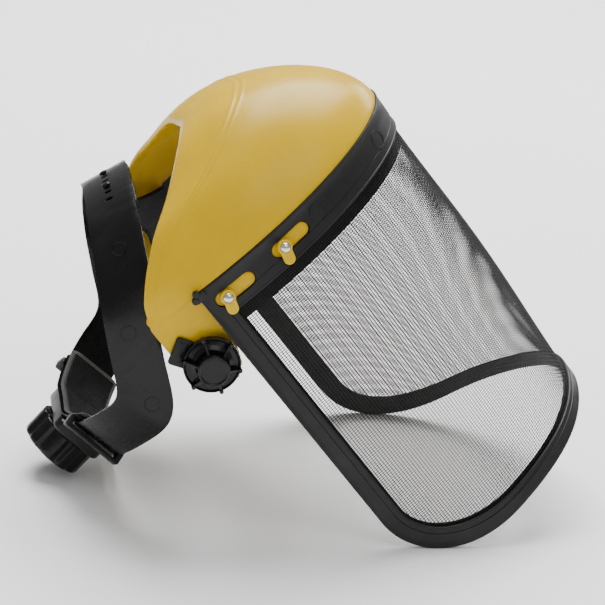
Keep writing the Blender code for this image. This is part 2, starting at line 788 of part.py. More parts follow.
def make_pivot(side_name, side):
    lug_face = HEAD_HALF_WIDTH + STRAP_THICKNESS / 2
    ear_back = EAR_X - SHELL_THICKNESS
    height = ear_back - 0.6 * MM - lug_face - 2 * GAP
    spacer = turned(f"pivot_spacer_{side_name}",
                    [(12 * MM, height), (12 * MM, 0), (BOLT_HOLE, 0), (BOLT_HOLE, height)],
                    (BLACK, 0.4, 0.0), side_frame(side, lug_face + GAP), 24, closed=True)
    hang(spacer, REST)
    outline = [(x + 7.5 * MM, y) for x, y in rounded_box(16 * MM, 8.5 * MM, 1.5 * MM)]
    turn = Matrix.Rotation(side * math.radians(122), 4, "Z")
    guard = plate(f"pivot_plate_{side_name}", [outline, circle(BOLT_HOLE)], PLATE_THICKNESS,
                  (BLACK, 0.35, 0.0), side_frame(side, PLATE_X + PLATE_THICKNESS / 2) @ turn)
    hang(guard, BROW)
    head = 74.6 * MM
    shank_end = 31 * MM
    bolt = turned(f"pivot_bolt_{side_name}",
                  [(0, shank_end), (BOLT_RADIUS, shank_end), (BOLT_RADIUS, 3.1 * MM), (6 * MM, 3.1 * MM),
                   (6 * MM, 0.6 * MM), (5.4 * MM, 0), (0, 0)],
                  (STEEL, 0.3, 1.0), side_frame(side, head), 20)
    hang(bolt, REST)


def make_side_knob(side_name, side):
    """Clamp knob: a dished flange, a raised hub and six ribs that end in small pegs."""
    base = PLATE_X + PLATE_THICKNESS + GAP
    profile = [(0, 14.5 * MM), (8.4 * MM, 14.5 * MM), (9.2 * MM, 13.7 * MM), (9.6 * MM, 6 * MM),
               (12.5 * MM, 3.6 * MM), (15.2 * MM, 3.8 * MM), (16 * MM, 4.6 * MM), (16.5 * MM, 4.2 * MM),
               (16.5 * MM, 0.6 * MM), (15.9 * MM, 0), (BOLT_HOLE, 0), (BOLT_HOLE, 10.2 * MM),
               (0, 10.2 * MM)]
    frame = side_frame(side, base)
    knob = turned(f"tilt_knob_{side_name}", profile, (BLACK, 0.22, 0.0), frame, 36)
    shape = bmesh.new()
    for i in range(6):
        turn = Matrix.Rotation(i * math.pi / 3 + 0.2, 4, "Z")
        rib = Matrix.Translation((12 * MM, 0, 6.4 * MM)) @ Matrix.Diagonal((8 * MM, 1.5 * MM, 8 * MM, 1))
        bmesh.ops.create_cube(shape, size=1, matrix=turn @ rib)
    ribs = cutter(add(f"knob_ribs_{side_name}", to_mesh(shape, "ribs"), (BLACK, 0.3, 0.0), frame))
    boolean(knob, ribs, "UNION")
    hang(knob, REST)
    return knob


# ---------------------------------------------------------------- ratchet

def ratchet_frame():
    back = Vector((0, -math.cos(RATCHET_LEAN), -math.sin(RATCHET_LEAN)))
    return frame_at(nape_middle(1, math.pi / 2), back, (1, 0, 0))


def ratchet_plate(name, outlines, low, high, look, turn=0.0):
    frame = ratchet_frame() @ Matrix.Translation((0, 0, (low + high) / 2)) @ Matrix.Rotation(turn, 4, "Z")
    piece = plate(name, outlines, high - low, look, frame)
    hang(piece, REST)
    return piece


def make_ratchet_housing():
    half_x = RATCHET_HALF_LENGTH
    half_y = RATCHET_HALF_HEIGHT
    cover = ratchet_plate("ratchet_cover", [rounded_box(half_x, half_y, 3 * MM)], -2.2 * MM, 6.4 * MM,
                          (BLACK, 0.35, 0.0))
    cavity = ratchet_plate("cover_cavity", [rounded_box(half_x + 9 * MM, half_y - 2 * MM, 0.5 * MM, 1)],
                           -9 * MM, 4.5 * MM, (BLACK, 0.4, 0.0))
    boolean(cover, cutter(cavity))
    bore = ratchet_plate("cover_bore", [circle(3.9 * MM, 24)], 0, 12 * MM, (BLACK, 0.4, 0.0))
    boolean(cover, cutter(bore))


def tooth_flank(pitch_half, tip_half):
    return [(-pitch_half, -TOOTH_HEIGHT), (-tip_half, TOOTH_HEIGHT), (tip_half, TOOTH_HEIGHT),
            (pitch_half, -TOOTH_HEIGHT)]


def make_racks():
    """Toothed strips, one above and one below the pinion, that draw in the two strap ends."""
    back = PITCH_RADIUS + 7 * MM
    for side_name, side in SIDES.items():
        outline = []
        count = 11
        for i in range(count):
            middle = (i - (count - 1) / 2) * TOOTH_PITCH
            for x, y in tooth_flank(0.75 * MM, 0.35 * MM):
                outline.append((middle + x, -(PITCH_RADIUS - y)))
        reach = count / 2 * TOOTH_PITCH
        outline = [(-reach, -PITCH_RADIUS - TOOTH_HEIGHT)] + outline + [(reach, -PITCH_RADIUS - TOOTH_HEIGHT)]
        outline += [(reach, -back), (-reach, -back)]
        turn = 0.0 if side < 0 else math.pi
        rack = ratchet_plate(f"rack_{side_name}", [outline[::-1]], 1.2 * MM, 3.4 * MM, (BLACK, 0.4, 0.0), turn)
        set_origin(rack, ratchet_frame().translation)


def make_ratchet_knob():
    outline = []
    for i in range(PINION_TEETH):
        middle = (i + 0.5) / PINION_TEETH * 2 * math.pi
        for x, y in tooth_flank(0.75 * MM, 0.35 * MM):
            angle = middle + x / PITCH_RADIUS
            radius = PITCH_RADIUS + y
            outline.append((radius * math.cos(angle), radius * math.sin(angle)))
    pinion = ratchet_plate("ratchet_pinion", [outline], 1.2 * MM, 3.9 * MM, (GREY, 0.4, 0.0),
                           -math.pi / 2)
    shaft = cutter(turned("pinion_shaft", rod(3.5 * MM, 14 * MM, 2 * MM), (GREY, 0.4, 0.0),
                          ratchet_frame(), 20))
    boolean(pinion, shaft, "UNION")
    radius = RATCHET_KNOB_RADIUS
    back = RATCHET_KNOB_BACK
    profile = [(0, back - 1.5 * MM), (10 * MM, back - 1.5 * MM), (11 * MM, back), (radius - 2.2 * MM, back),
               (radius - 0.6 * MM, back - 0.8 * MM), (radius - 0.2 * MM, back - 2.5 * MM),
               (radius, 8 * MM), (radius - 0.8 * MM, 7 * MM), (16 * MM, 7 * MM), (16 * MM, 9.4 * MM),
               (3.8 * MM, 9.4 * MM), (3.8 * MM, 14.4 * MM), (0, 14.4 * MM)]
    knob = turned("ratchet_knob", profile, (BLACK, 0.3, 0.0), ratchet_frame(), 40)
    for i in range(KNOB_FLUTES):
        angle = i * 2 * math.pi / KNOB_FLUTES
        place = Matrix.Rotation(angle, 4, "Z") @ Matrix.Translation((radius + 1.6 * MM, 0, 21 * MM))
        flute = cutter(turned(f"flute_{i}", rod(3.4 * MM, 12 * MM, -11 * MM), (BLACK, 0.3, 0.0),
                              ratchet_frame() @ place, 12))
        boolean(knob, flute)
    hang(knob, REST)
    detent = ratchet_plate("ratchet_detent", [star(14.6 * MM, 13.6 * MM, 24), circle(4.3 * MM)],
                           6.9 * MM, 8.9 * MM, (GREY, 0.4, 0.0))
    return detent


def star(outer, inner, count):
    points = []
    for i in range(count):
        for share, radius in ((0, inner), (0.5, outer)):
            angle = (i + share) / count * 2 * math.pi
            points.append((radius * math.cos(angle), radius * math.sin(angle)))
    return points


# ---------------------------------------------------------------- laying down

def worn_points():
    """Every part's evaluated points as worn."""
    depsgraph = bpy.context.evaluated_depsgraph_get()
    points = []
    for piece in PARTS.objects:
        if piece.type == "MESH":
            solid = piece.evaluated_get(depsgraph)
            mesh = solid.to_mesh()
            points += [solid.matrix_world @ vertex.co for vertex in mesh.vertices]
            solid.to_mesh_clear()
    return points


def resting_tilt(points):
    """The lean at which the visor's corners and the ratchet knob touch one level floor."""
    front = [(p.y, p.z) for p in points if p.y > 0]
    rear = [(p.y, p.z) for p in points if p.y < -60 * MM]

    def height_difference(tilt):
        low_front = min(y * math.sin(tilt) + z * math.cos(tilt) for y, z in front)
        low_rear = min(y * math.sin(tilt) + z * math.cos(tilt) for y, z in rear)
        return low_front - low_rear

    low, high = math.radians(25), math.radians(55)
    for _ in range(50):
        middle = (low + high) / 2
        if height_difference(middle) < 0:
            low = middle
        else:
            high = middle
    return (low + high) / 2


def lay_down():
    bpy.context.view_layer.update()
    points = worn_points()
    turn = Matrix.Rotation(resting_tilt(points), 4, "X")
    laid = [turn @ point for point in points]
    middle_y = (min(p.y for p in laid) + max(p.y for p in laid)) / 2
    lowest = min(p.z for p in laid)
    REST.matrix_world = Matrix.Translation((0, -middle_y, -lowest)) @ turn
    bpy.context.view_layer.update()


def make_empty(name, place=(0, 0, 0)):
    empty = bpy.data.objects.new(name, None)
    empty.location = place
    PARTS.objects.link(empty)
    bpy.context.view_layer.update()
    return empty


def make_face_shield():
    make_pivot_cuts()
    make_visor_frame()
    make_visor_retainer()
    make_visor_mesh()
    make_brow_guard()
    make_rivets_and_tabs()
    outer = make_side_strap("right", 1, CROWN_LAYER)
    inner = make_side_strap("left", -1, -CROWN_LAYER)
    make_crown_fittings(outer, inner)
    make_wrapped_band("forehead_band", 2.0 * MM, 1.6 * MM, 4, 5 * MM, 26 * MM, (BLACK, 0.3, 0.0))
    make_wrapped_band("sweatband", 4.6 * MM, 3.0 * MM, 18, 4 * MM, 28 * MM, (DARK, 0.9, 0.0))
    make_nape_plate()
    nape_sheet("nape_pad", 5.6 * MM, 18.5 * MM, 43, 2.6 * MM, (GREY, 0.7, 0.0))
    for side_name, side in SIDES.items():
        make_pivot(side_name, side)
        make_side_knob(side_name, side)
    make_ratchet_housing()
    make_racks()
    make_ratchet_knob()
    lay_down()


clear_scene()
PARTS = collection("face_shield")
CUTTERS = collection("cutters")
REST = make_empty("rest")
BROW = make_empty("brow_pivot", (0, PIVOT_Y, PIVOT_Z))
hang(BROW, REST)
make_face_shield()
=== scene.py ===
"""Face shield: the visible model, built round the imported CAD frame.

Shapes are worked out as worn (+Y forward, +Z up, +X to the wearer's right, origin between the
visor's rear top corners) and REST lays them down where the frame's own pivot and ratchet are.
Lengths are metres.
"""
import json
import math

import bmesh
import bpy
import numpy as np
from mathutils import Matrix, Vector


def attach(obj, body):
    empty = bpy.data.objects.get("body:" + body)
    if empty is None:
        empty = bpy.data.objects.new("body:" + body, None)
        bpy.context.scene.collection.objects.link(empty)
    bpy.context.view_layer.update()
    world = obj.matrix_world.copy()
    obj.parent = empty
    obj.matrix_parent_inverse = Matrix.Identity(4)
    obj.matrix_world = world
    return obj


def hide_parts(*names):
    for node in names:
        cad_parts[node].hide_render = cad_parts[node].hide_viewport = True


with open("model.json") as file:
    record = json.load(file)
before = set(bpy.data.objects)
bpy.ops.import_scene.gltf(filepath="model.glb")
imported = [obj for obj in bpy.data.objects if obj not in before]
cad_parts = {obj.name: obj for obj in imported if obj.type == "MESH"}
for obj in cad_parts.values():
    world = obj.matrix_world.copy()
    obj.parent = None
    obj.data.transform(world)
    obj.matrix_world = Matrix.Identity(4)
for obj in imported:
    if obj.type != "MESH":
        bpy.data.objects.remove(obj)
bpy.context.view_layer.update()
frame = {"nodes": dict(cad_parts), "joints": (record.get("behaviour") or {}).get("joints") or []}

MM = 0.001
JOINTS = {joint["name"]: joint for joint in frame["joints"]}
SIDES = {"right": 1, "left": -1}

# visor
VISOR_HALF_WIDTH = 99.8 * MM
VISOR_REACH = 147.7 * MM
FLARE_DEPTH = 200 * MM
WIDTH_FLARE = 0.067
REACH_FLARE = -0.036
VISOR_DROP = 231.5 * MM
CORNER_DROP = 179.5 * MM
CORNER_START = 0.62
FRONT_RISE = 5 * MM
BAND_HEIGHT = 22 * MM
RAIL_WIDTH = 13 * MM
BOW_WIDTH = 11 * MM
MESH_BULGE = 2.5 * MM
MESH_FACE = -2.7 * MM
MESH_INSET = 4 * MM
WARP_PITCH = 1.94 * MM
WEFT_PITCH = 1.45 * MM
WIRE_RADIUS = 0.235 * MM
WIRE_WAVE = 0.12 * MM
FRAME_BACK = -2.2 * MM
RETAINER_FACE = -3.2 * MM
RETAINER_BACK = -4.8 * MM
RETAINER_SHOW = 1.5 * MM
RETAINER_BAND_SHOW = 8 * MM
SKIRT_FACE = -5.1 * MM
SKIRT_DROP = 18 * MM
PIVOT_Y = -18 * MM
PIVOT_Z = -39 * MM
EAR_X = 93.4 * MM
PLATE_OUTER = 96.0 * MM
LUG_X = 100.4 * MM
RIVET_PLACES = {"rear": (13.5 * MM, -12 * MM), "front": (55.5 * MM, -11 * MM)}
SLOT_LENGTH = 27 * MM
SLOT_WIDTH = 9 * MM
SLOT_SHIFT = 6 * MM
TAB_LEAN = math.radians(15)

# headgear
HEAD_HALF_WIDTH = 78.8 * MM
STRAP_THICKNESS = 1.6 * MM
STRAP_WIDTH = 30 * MM
CROWN_HEIGHT = 50 * MM
CROWN_BASE = 6 * MM
CROWN_Y = -10 * MM
CROWN_SWEEP = 30 * MM
CROWN_TILT = math.radians(7.5)
CROWN_LAYER = 1.2 * MM
NAPE_CENTRE_Y = -60 * MM
NAPE_REACH = 57.3 * MM
NAPE_Z = -43 * MM
NAPE_DROP = 10.4 * MM
TAIL_WIDTH = 32 * MM
TAIL_END_X = 8 * MM
BAND_FRONT = 92 * MM
RATCHET_LEAN = math.radians(9)
CORNER_LEAN = math.radians(14.5)
RATCHET_KNOB_RADIUS = 21 * MM
RATCHET_KNOB_BACK = 25.5 * MM
KNOB_FLUTES = 10


def rest_matrix():
    """Where the worn model lies: the record's pivot and ratchet axis say how it was laid down."""
    back = JOINTS["ratchet_turn"]["axis"]
    worn_angle = math.atan2(-math.sin(RATCHET_LEAN), -math.cos(RATCHET_LEAN))
    tilt = math.atan2(back[2], back[1]) - worn_angle
    pivot = Matrix.Translation(JOINTS["brow_tilt"]["pos_m"])
    return pivot @ Matrix.Rotation(tilt, 4, "X") @ Matrix.Translation((0, -PIVOT_Y, -PIVOT_Z))


REST = rest_matrix()


# ---------------------------------------------------------------- materials

class Look:
    """Builds one node material step by step."""

    def __init__(self, name):
        self.material = bpy.data.materials.new(name)
        self.material.use_nodes = True
        self.tree = self.material.node_tree
        self.shader = self.tree.nodes["Principled BSDF"]
        self.place = self.node("ShaderNodeTexCoord").outputs["Object"]

    def node(self, kind, **values):
        made = self.tree.nodes.new(kind)
        for key, value in values.items():
            setattr(made, key, value)
        return made

    def link(self, source, target):
        self.tree.links.new(source, target)

    def noise(self, scale, detail=3.0, stretch=(1, 1, 1)):
        place = self.place
        if stretch != (1, 1, 1):
            mapping = self.node("ShaderNodeMapping")
            mapping.inputs["Scale"].default_value = stretch
            self.link(place, mapping.inputs["Vector"])
            place = mapping.outputs["Vector"]
        made = self.node("ShaderNodeTexNoise")
        made.inputs["Scale"].default_value = scale
        made.inputs["Detail"].default_value = detail
        self.link(place, made.inputs["Vector"])
        return made.outputs["Fac"]

    def ranged(self, source, low, high, from_low=0.3, from_high=0.7):
        made = self.node("ShaderNodeMapRange")
        made.inputs["From Min"].default_value = from_low
        made.inputs["From Max"].default_value = from_high
        made.inputs["To Min"].default_value = low
        made.inputs["To Max"].default_value = high
        self.link(source, made.inputs["Value"])
        return made.outputs["Result"]

    def mixed(self, factor, first, second):
        made = self.node("ShaderNodeMix", data_type="RGBA")
        made.inputs["A"].default_value = (*first, 1)
        made.inputs["B"].default_value = (*second, 1)
        self.link(factor, made.inputs["Factor"])
        return made.outputs["Result"]

    def bump(self, height, strength, distance):
        made = self.node("ShaderNodeBump")
        made.inputs["Strength"].default_value = strength
        made.inputs["Distance"].default_value = distance
        self.link(height, made.inputs["Height"])
        if self.shader.inputs["Normal"].is_linked:
            self.link(self.shader.inputs["Normal"].links[0].from_socket, made.inputs["Normal"])
        self.link(made.outputs["Normal"], self.shader.inputs["Normal"])

    def set(self, **values):
        for key, value in values.items():
            self.shader.inputs[key.replace("_", " ")].default_value = value


def plastic(name, dark, light, rough, grain, grain_size=1800):
    """Moulded plastic: slow colour drift, uneven gloss, faint flow marks and a fine grain."""
    look = Look(name)
    drift = look.ranged(look.noise(28), 0, 1)
    look.link(look.mixed(drift, dark, light), look.shader.inputs["Base Color"])
    gloss = look.noise(140, 5, (1, 0.35, 1))
    look.link(look.ranged(gloss, rough - 0.05, rough + 0.07), look.shader.inputs["Roughness"])
    look.bump(look.noise(90, 2, (1, 0.3, 1)), 0.12, 0.0002)
    look.bump(look.noise(grain_size, 2), grain, 0.00006)
    look.set(Specular_IOR_Level=0.27)
    return look


def grey(level):
    return level, level, level


# darker and lighter colour, roughness, grain strength and grain scale of each moulded plastic
PLASTICS = {
    "yellow": ("yellow_gloss", (0.61, 0.378, 0.0), (0.68, 0.425, 0.0), 0.27, 0.2, 1500),
    "tab": ("tab_yellow", (0.68, 0.43, 0.0), (0.75, 0.48, 0.0), 0.24, 0.2, 1500),
    "frame": ("frame_satin", grey(0.009), (0.015, 0.015, 0.0145), 0.42, 0.5, 2600),
    "retainer": ("retainer_satin", grey(0.005), grey(0.009), 0.5, 0.5),
    "strap": ("strap_gloss", grey(0.002), grey(0.004), 0.26, 0.2, 1100),
    "knob": ("knob_gloss", grey(0.002), grey(0.004), 0.24, 0.25, 1700),
    "housing": ("housing_satin", grey(0.004), grey(0.007), 0.35, 0.4),
    "hub": ("hub_grey", (0.20, 0.20, 0.205), (0.27, 0.27, 0.275), 0.35, 0.3),
    "pad": ("pad_rubber", (0.045, 0.045, 0.046), (0.068, 0.068, 0.069), 0.55, 0.6, 2200),
    "pad_rim": ("pad_rim", (0.09, 0.09, 0.092), (0.13, 0.13, 0.132), 0.4, 0.3),
    # painted shade: a darker plastic for the pad's grooves, standing in for the shade between its ribs
    "pad_groove_painted_shade": ("pad_groove_painted_shade", grey(0.008), grey(0.013), 0.6, 0.4),
}


def wire_look():
    """Coated black wire, a little lighter where it is rubbed."""
    wire = Look("wire_black")
    worn = wire.ranged(wire.noise(220, 4), 0, 1, 0.35, 0.75)
    colour = wire.mixed(worn, grey(0.004), grey(0.012))
    wire.link(colour, wire.shader.inputs["Base Color"])
    wire.link(wire.ranged(wire.noise(900, 2), 0.36, 0.5), wire.shader.inputs["Roughness"])
    wire.bump(wire.noise(5000, 2), 0.3, 0.00003)
    wire.set(Specular_IOR_Level=0.25)
    return wire


def steel_look():
    """Bright plated steel with fine brush marks."""
    steel = Look("plated_steel")
    brushed = steel.noise(700, 4, (1, 1, 9))
    steel.link(steel.mixed(steel.ranged(brushed, 0, 1), (0.62, 0.62, 0.64), (0.78, 0.78, 0.80)),
               steel.shader.inputs["Base Color"])
    steel.link(steel.ranged(brushed, 0.14, 0.3), steel.shader.inputs["Roughness"])
    steel.bump(steel.noise(2500, 3), 0.15, 0.00003)
    steel.set(Metallic=1.0)
    return steel


def foam_look():
    """Open foam with rows of punched holes."""
    foam = Look("sweat_foam")
    cells = foam.node("ShaderNodeTexVoronoi", feature="DISTANCE_TO_EDGE")
    cells.inputs["Scale"].default_value = 900
    foam.link(foam.place, cells.inputs["Vector"])
    holes = foam.node("ShaderNodeTexVoronoi", feature="F1")
    holes.inputs["Scale"].default_value = 210
    holes.inputs["Randomness"].default_value = 0.15
    foam.link(foam.place, holes.inputs["Vector"])
    punched = foam.ranged(holes.outputs["Distance"], 0, 1, 0.12, 0.26)
    colour = foam.mixed(punched, grey(0.004), (0.022, 0.022, 0.023))
    foam.link(colour, foam.shader.inputs["Base Color"])
    foam.bump(cells.outputs["Distance"], 0.5, 0.0002)
    foam.bump(punched, 0.8, 0.0004)
    foam.set(Roughness=0.9, Sheen_Weight=0.35, Sheen_Roughness=0.5)
    return foam


def floor_look():
    floor = Look("pale_floor")
    floor.link(floor.mixed(floor.ranged(floor.noise(3), 0, 1), grey(0.93), grey(0.95)),
               floor.shader.inputs["Base Color"])
    floor.set(Roughness=0.9, Specular_IOR_Level=0.1)
    return floor


def make_looks():
    looks = {key: plastic(*values) for key, values in PLASTICS.items()}
    looks["yellow"].set(Specular_IOR_Level=0.18)
    looks["wire"] = wire_look()
    looks["steel"] = steel_look()
    looks["foam"] = foam_look()
    looks["floor"] = floor_look()
    return {key: look.material for key, look in looks.items()}


LOOKS = make_looks()


# ---------------------------------------------------------------- making pieces

def smooth_shade(mesh, degrees):
    """Shades a mesh smooth, with creases where its faces turn by more than the angle."""
    mesh.polygons.foreach_set("use_smooth", np.ones(len(mesh.polygons), bool))
    mesh.set_sharp_from_angle(angle=math.radians(degrees))


def new_object(name, mesh):
    """An object for a mesh made as worn, laid down where the frame lies."""
    piece = bpy.data.objects.new(name, mesh)
    bpy.context.scene.collection.objects.link(piece)
    piece.matrix_world = REST
    return piece


def baked(piece):
    """Turns a piece's modifiers into its mesh."""
    bpy.context.view_layer.update()
    solid = piece.evaluated_get(bpy.context.evaluated_depsgraph_get())
    mesh = bpy.data.meshes.new_from_object(solid)
    piece.modifiers.clear()
    piece.data = mesh


def finish_piece(piece, look, body, node, slot, degrees):
    """Gives a piece its material and smooth shading, puts it on its body and hides the node it stands for;
    the slot is not used.
    """
    piece.data.materials.append(LOOKS[look])
    smooth_shade(piece.data, degrees)
    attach(piece, body)
    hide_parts(node)


def shape_piece(shape, name, *values):
    """Makes a finished piece of a closed shape."""
    piece = new_object(name, mesh_of(shape, name))
    finish_piece(piece, *values)
    return piece


def add_details(piece, extra):
    """Adds small closed shapes to a piece's mesh."""
    closed(extra)
    mesh = mesh_of(extra, "extra")
    shape = bmesh.new()
    shape.from_mesh(piece.data)
    shape.from_mesh(mesh)
    bpy.data.meshes.remove(mesh)
    shape.to_mesh(piece.data)
    shape.free()


def array_mesh(name, points, faces):
    """A mesh of quads straight from arrays."""
    mesh = bpy.data.meshes.new(name)
    mesh.vertices.add(len(points))
    mesh.vertices.foreach_set("co", np.asarray(points, np.float32).ravel())
    mesh.loops.add(faces.size)
    mesh.loops.foreach_set("vertex_index", faces.astype(np.int32).ravel())
    mesh.polygons.add(len(faces))
    mesh.polygons.foreach_set("loop_start", np.arange(0, faces.size, faces.shape[1], dtype=np.int32))
    mesh.update(calc_edges=True)
    mesh.validate()
    return mesh


def ring_faces(rows, columns):
    """Faces of a grid that closes on itself both ways."""
    index = np.arange(rows * columns).reshape(rows, columns)
    index = np.vstack([index, index[:1]])
    index = np.hstack([index, index[:, :1]])
    return np.stack([index[:-1, :-1], index[:-1, 1:], index[1:, 1:], index[1:, :-1]], -1).reshape(-1, 4)


def add_grid(shape, points, close_columns=False):
    """Adds a grid of points to a bmesh as quads."""
    verts = [[shape.verts.new(point) for point in row] for row in points]
    for low, high in zip(verts, verts[1:]):
        count = len(low)
        for k in range(count if close_columns else count - 1):
            after = (k + 1) % count
            corners = [low[k], low[after], high[after], high[k]]
            shape.faces.new(corners)
    return verts


def closed(shape, weld=0.002 * MM):
    """Welds a shape's seams and turns its faces outwards."""
    bmesh.ops.remove_doubles(shape, verts=shape.verts, dist=weld)
    loose = [edge for edge in shape.edges if not edge.link_faces]
    bmesh.ops.delete(shape, geom=loose, context="EDGES")
    bmesh.ops.recalc_face_normals(shape, faces=shape.faces)


def mesh_of(shape, name):
    mesh = bpy.data.meshes.new(name)
    shape.to_mesh(mesh)
    shape.free()
    return mesh


def frame_at(origin, z_axis, x_axis):
    """A place whose Z runs along z_axis and whose X is as near x_axis as it can be."""
    z_dir = Vector(z_axis).normalized()
    y_dir = z_dir.cross(Vector(x_axis)).normalized()
    x_dir = y_dir.cross(z_dir)
    return Matrix.Translation(origin) @ Matrix((x_dir, y_dir, z_dir)).transposed().to_4x4()


def scaled(*points):
    """Points given in millimetres."""
    return [tuple(value * MM for value in point) for point in points]


def arc(radius, start, end, steps, centre=(0, 0)):
    """Points of a circular arc between two angles."""
    angles = [start + (end - start) * i / steps for i in range(steps + 1)]
    return [(centre[0] + radius * math.cos(a), centre[1] + radius * math.sin(a)) for a in angles]


def stadium(length, width, steps=14):
    """The outline of a slot with round ends, lying along X."""
    reach = (length - width) / 2
    quarter = math.pi / 2
    right = arc(width / 2, -quarter, quarter, steps, (reach, 0))
    left = arc(width / 2, quarter, 3 * quarter, steps, (-reach, 0))
    return right + left


def rounded_box(half_x, half_y, radius, steps=7):
    """The outline of a rectangle with round corners."""
    points = []
    for i, (sx, sy) in enumerate(((1, 1), (-1, 1), (-1, -1), (1, -1))):
        start = i * math.pi / 2
        centre = (sx * (half_x - radius), sy * (half_y - radius))
        points += arc(radius, start, start + math.pi / 2, steps, centre)
    return points


def inset_outline(outline, amount):
    """The outline moved inwards along its own corner normals."""
    moved = []
    count = len(outline)
    for i, point in enumerate(outline):
        here = Vector(point)
        before = here - Vector(outline[i - 1])
        after = Vector(outline[(i + 1) % count]) - here
        if before.length < 1e-9:
            before = after
        if after.length < 1e-9:
            after = before
        along = before.normalized() + after.normalized()
        if along.length < 1e-9:
            along = after
        normal = Vector((along.y, -along.x)).normalized()
        moved.append(here - normal * amount)
    return moved


def add_capped(shape, loops):
    """A tube through closed loops of points, capped at both ends."""
    verts = add_grid(shape, loops, close_columns=True)
    shape.faces.new(verts[0][::-1])
    shape.faces.new(verts[-1])


def add_plate(shape, outline, low, high, place, edge=0.4 * MM, steps=3):
    """A plate with rounded top and bottom edges, about the place's XY plane."""
    rows = []
    for i in range(steps + 1):
        angle = i / steps * math.pi / 2
        rows.append((edge * (1 - math.sin(angle)), low + edge * (1 - math.cos(angle))))
    for i in range(steps + 1):
        angle = i / steps * math.pi / 2
        rows.append((edge * (1 - math.cos(angle)), high - edge * (1 - math.sin(angle))))
    grid = []
    for inset, z in rows:
        ring = inset_outline(outline, inset) if inset > 1e-9 else [Vector(p) for p in outline]
        grid.append([place @ Vector((p.x, p.y, z)) for p in ring])
    add_capped(shape, grid)


def add_turned(shape, profile, place, steps=64, wobble=None):
    """A turned solid from (radius, height) points; wobble bends the radius with the angle."""
    grid = []
    for radius, height in profile:
        ring = []
        for i in range(steps):
            angle = i / steps * 2 * math.pi
            reach = radius if wobble is None else wobble(radius, angle)
            ring.append(place @ Vector((reach * math.cos(angle), reach * math.sin(angle), height)))
        grid.append(ring)
    add_grid(shape, grid, close_columns=True)


def rounded_profile(points, radius, steps=4):
    """Rounds the corners of an open (radius, height) profile."""
    result = [Vector(points[0])]
    for before, here, after in zip(points, points[1:], points[2:]):
        here = Vector(here)
        back = Vector(before) - here
        ahead = Vector(after) - here
        reach = min(radius, back.length * 0.45, ahead.length * 0.45)
        start = here + back.normalized() * reach
        end = here + ahead.normalized() * reach
        for i in range(steps + 1):
            t = i / steps
            result.append(start * (1 - t) ** 2 + here * 2 * t * (1 - t) + end * t * t)
    result.append(Vector(points[-1]))
    return [(p.x, p.y) for p in result]


def add_mark(shape, place, radius, width=0.5 * MM, height=0.18 * MM):
    """The faint ring that an ejector pin leaves."""
    crest = width * 0.6
    profile = [(radius - width, -height), (radius - crest, height),
               (radius + crest, height), (radius + width, -height)]
    add_turned(shape, profile, place, 32)


def modifier(piece, kind, **values):
    made = piece.modifiers.new(kind.lower(), kind)
    for key, value in values.items():
        setattr(made, key, value)


def soften_edges(piece, width):
    """Rounds a piece's sharp edges."""
    modifier(piece, "BEVEL", width=width, segments=2, limit_method="ANGLE", angle_limit=math.radians(50))
    baked(piece)


def cut(piece, shapes):
    """Cuts closed shapes out of a piece."""
    tool = new_object("tool", mesh_of(shapes, "tool"))
    modifier(piece, "BOOLEAN", operation="DIFFERENCE", object=tool, solver="EXACT")
    baked(piece)
    bpy.data.objects.remove(tool)


# ---------------------------------------------------------------- the visor's surface

# distance round the visor's top edge from its middle, against the angle round its ellipse
ANGLES = np.linspace(0, math.pi / 2, 721)
MIDDLES = (ANGLES[1:] + ANGLES[:-1]) / 2
SLOPES = np.hypot(VISOR_HALF_WIDTH * np.cos(MIDDLES), VISOR_REACH * np.sin(MIDDLES))
STEPS = SLOPES * (ANGLES[1] - ANGLES[0])
DISTANCES = np.concatenate([[0.0], np.cumsum(STEPS)])
HALF_LENGTH = float(DISTANCES[-1])


def visor_angle(along):
    return np.sign(along) * np.interp(np.abs(along), DISTANCES, ANGLES)


def visor_sizes(z):
    """The visor's half width and reach at a height."""
    drop = -np.asarray(z) / FLARE_DEPTH
    return VISOR_HALF_WIDTH * (1 + WIDTH_FLARE * drop), VISOR_REACH * (1 + REACH_FLARE * drop)


def visor_normals(along, z):
    angle = visor_angle(along)
    width, reach = visor_sizes(z)
    normal = np.stack([np.sin(angle) / width, np.cos(angle) / reach, np.zeros_like(angle)], -1)
    return normal / np.linalg.norm(normal, axis=-1, keepdims=True)


def visor_points(along, z, out=0.0):
    """Points on the visor: distance round it, height, and distance out from its face."""
    along, z, out = np.broadcast_arrays(np.asarray(along, float), z, out)
    angle = visor_angle(along)
    width, reach = visor_sizes(z)
    face = np.stack([width * np.sin(angle), reach * np.cos(angle), z], -1)
    return face + visor_normals(along, z) * out[..., None]


def visor_point(along, z, out=0.0):
    return Vector(visor_points(along, z, out))


def visor_normal(along, z):
    return Vector(visor_normals(np.asarray(along, float), z))


def visor_bottom(along):
    """The height of the visor's bottom edge: level in the middle, with round corners."""
    share = np.minimum(np.abs(along) / HALF_LENGTH, 1.0)
    level = -VISOR_DROP + FRONT_RISE * np.cos(math.pi / 2 * np.minimum(share / CORNER_START, 1)) ** 6
    corner = np.clip((share - CORNER_START) / (1 - CORNER_START), 0, 1)
    round_part = -CORNER_DROP - (VISOR_DROP - CORNER_DROP) * np.sqrt(np.maximum(0, 1 - corner ** 2.3))
    return np.where(share < CORNER_START, level, round_part)


TOP_STEPS = 80
RAIL_STEPS = 16
CORNER_STEPS = 36
BOW_STEPS = 56


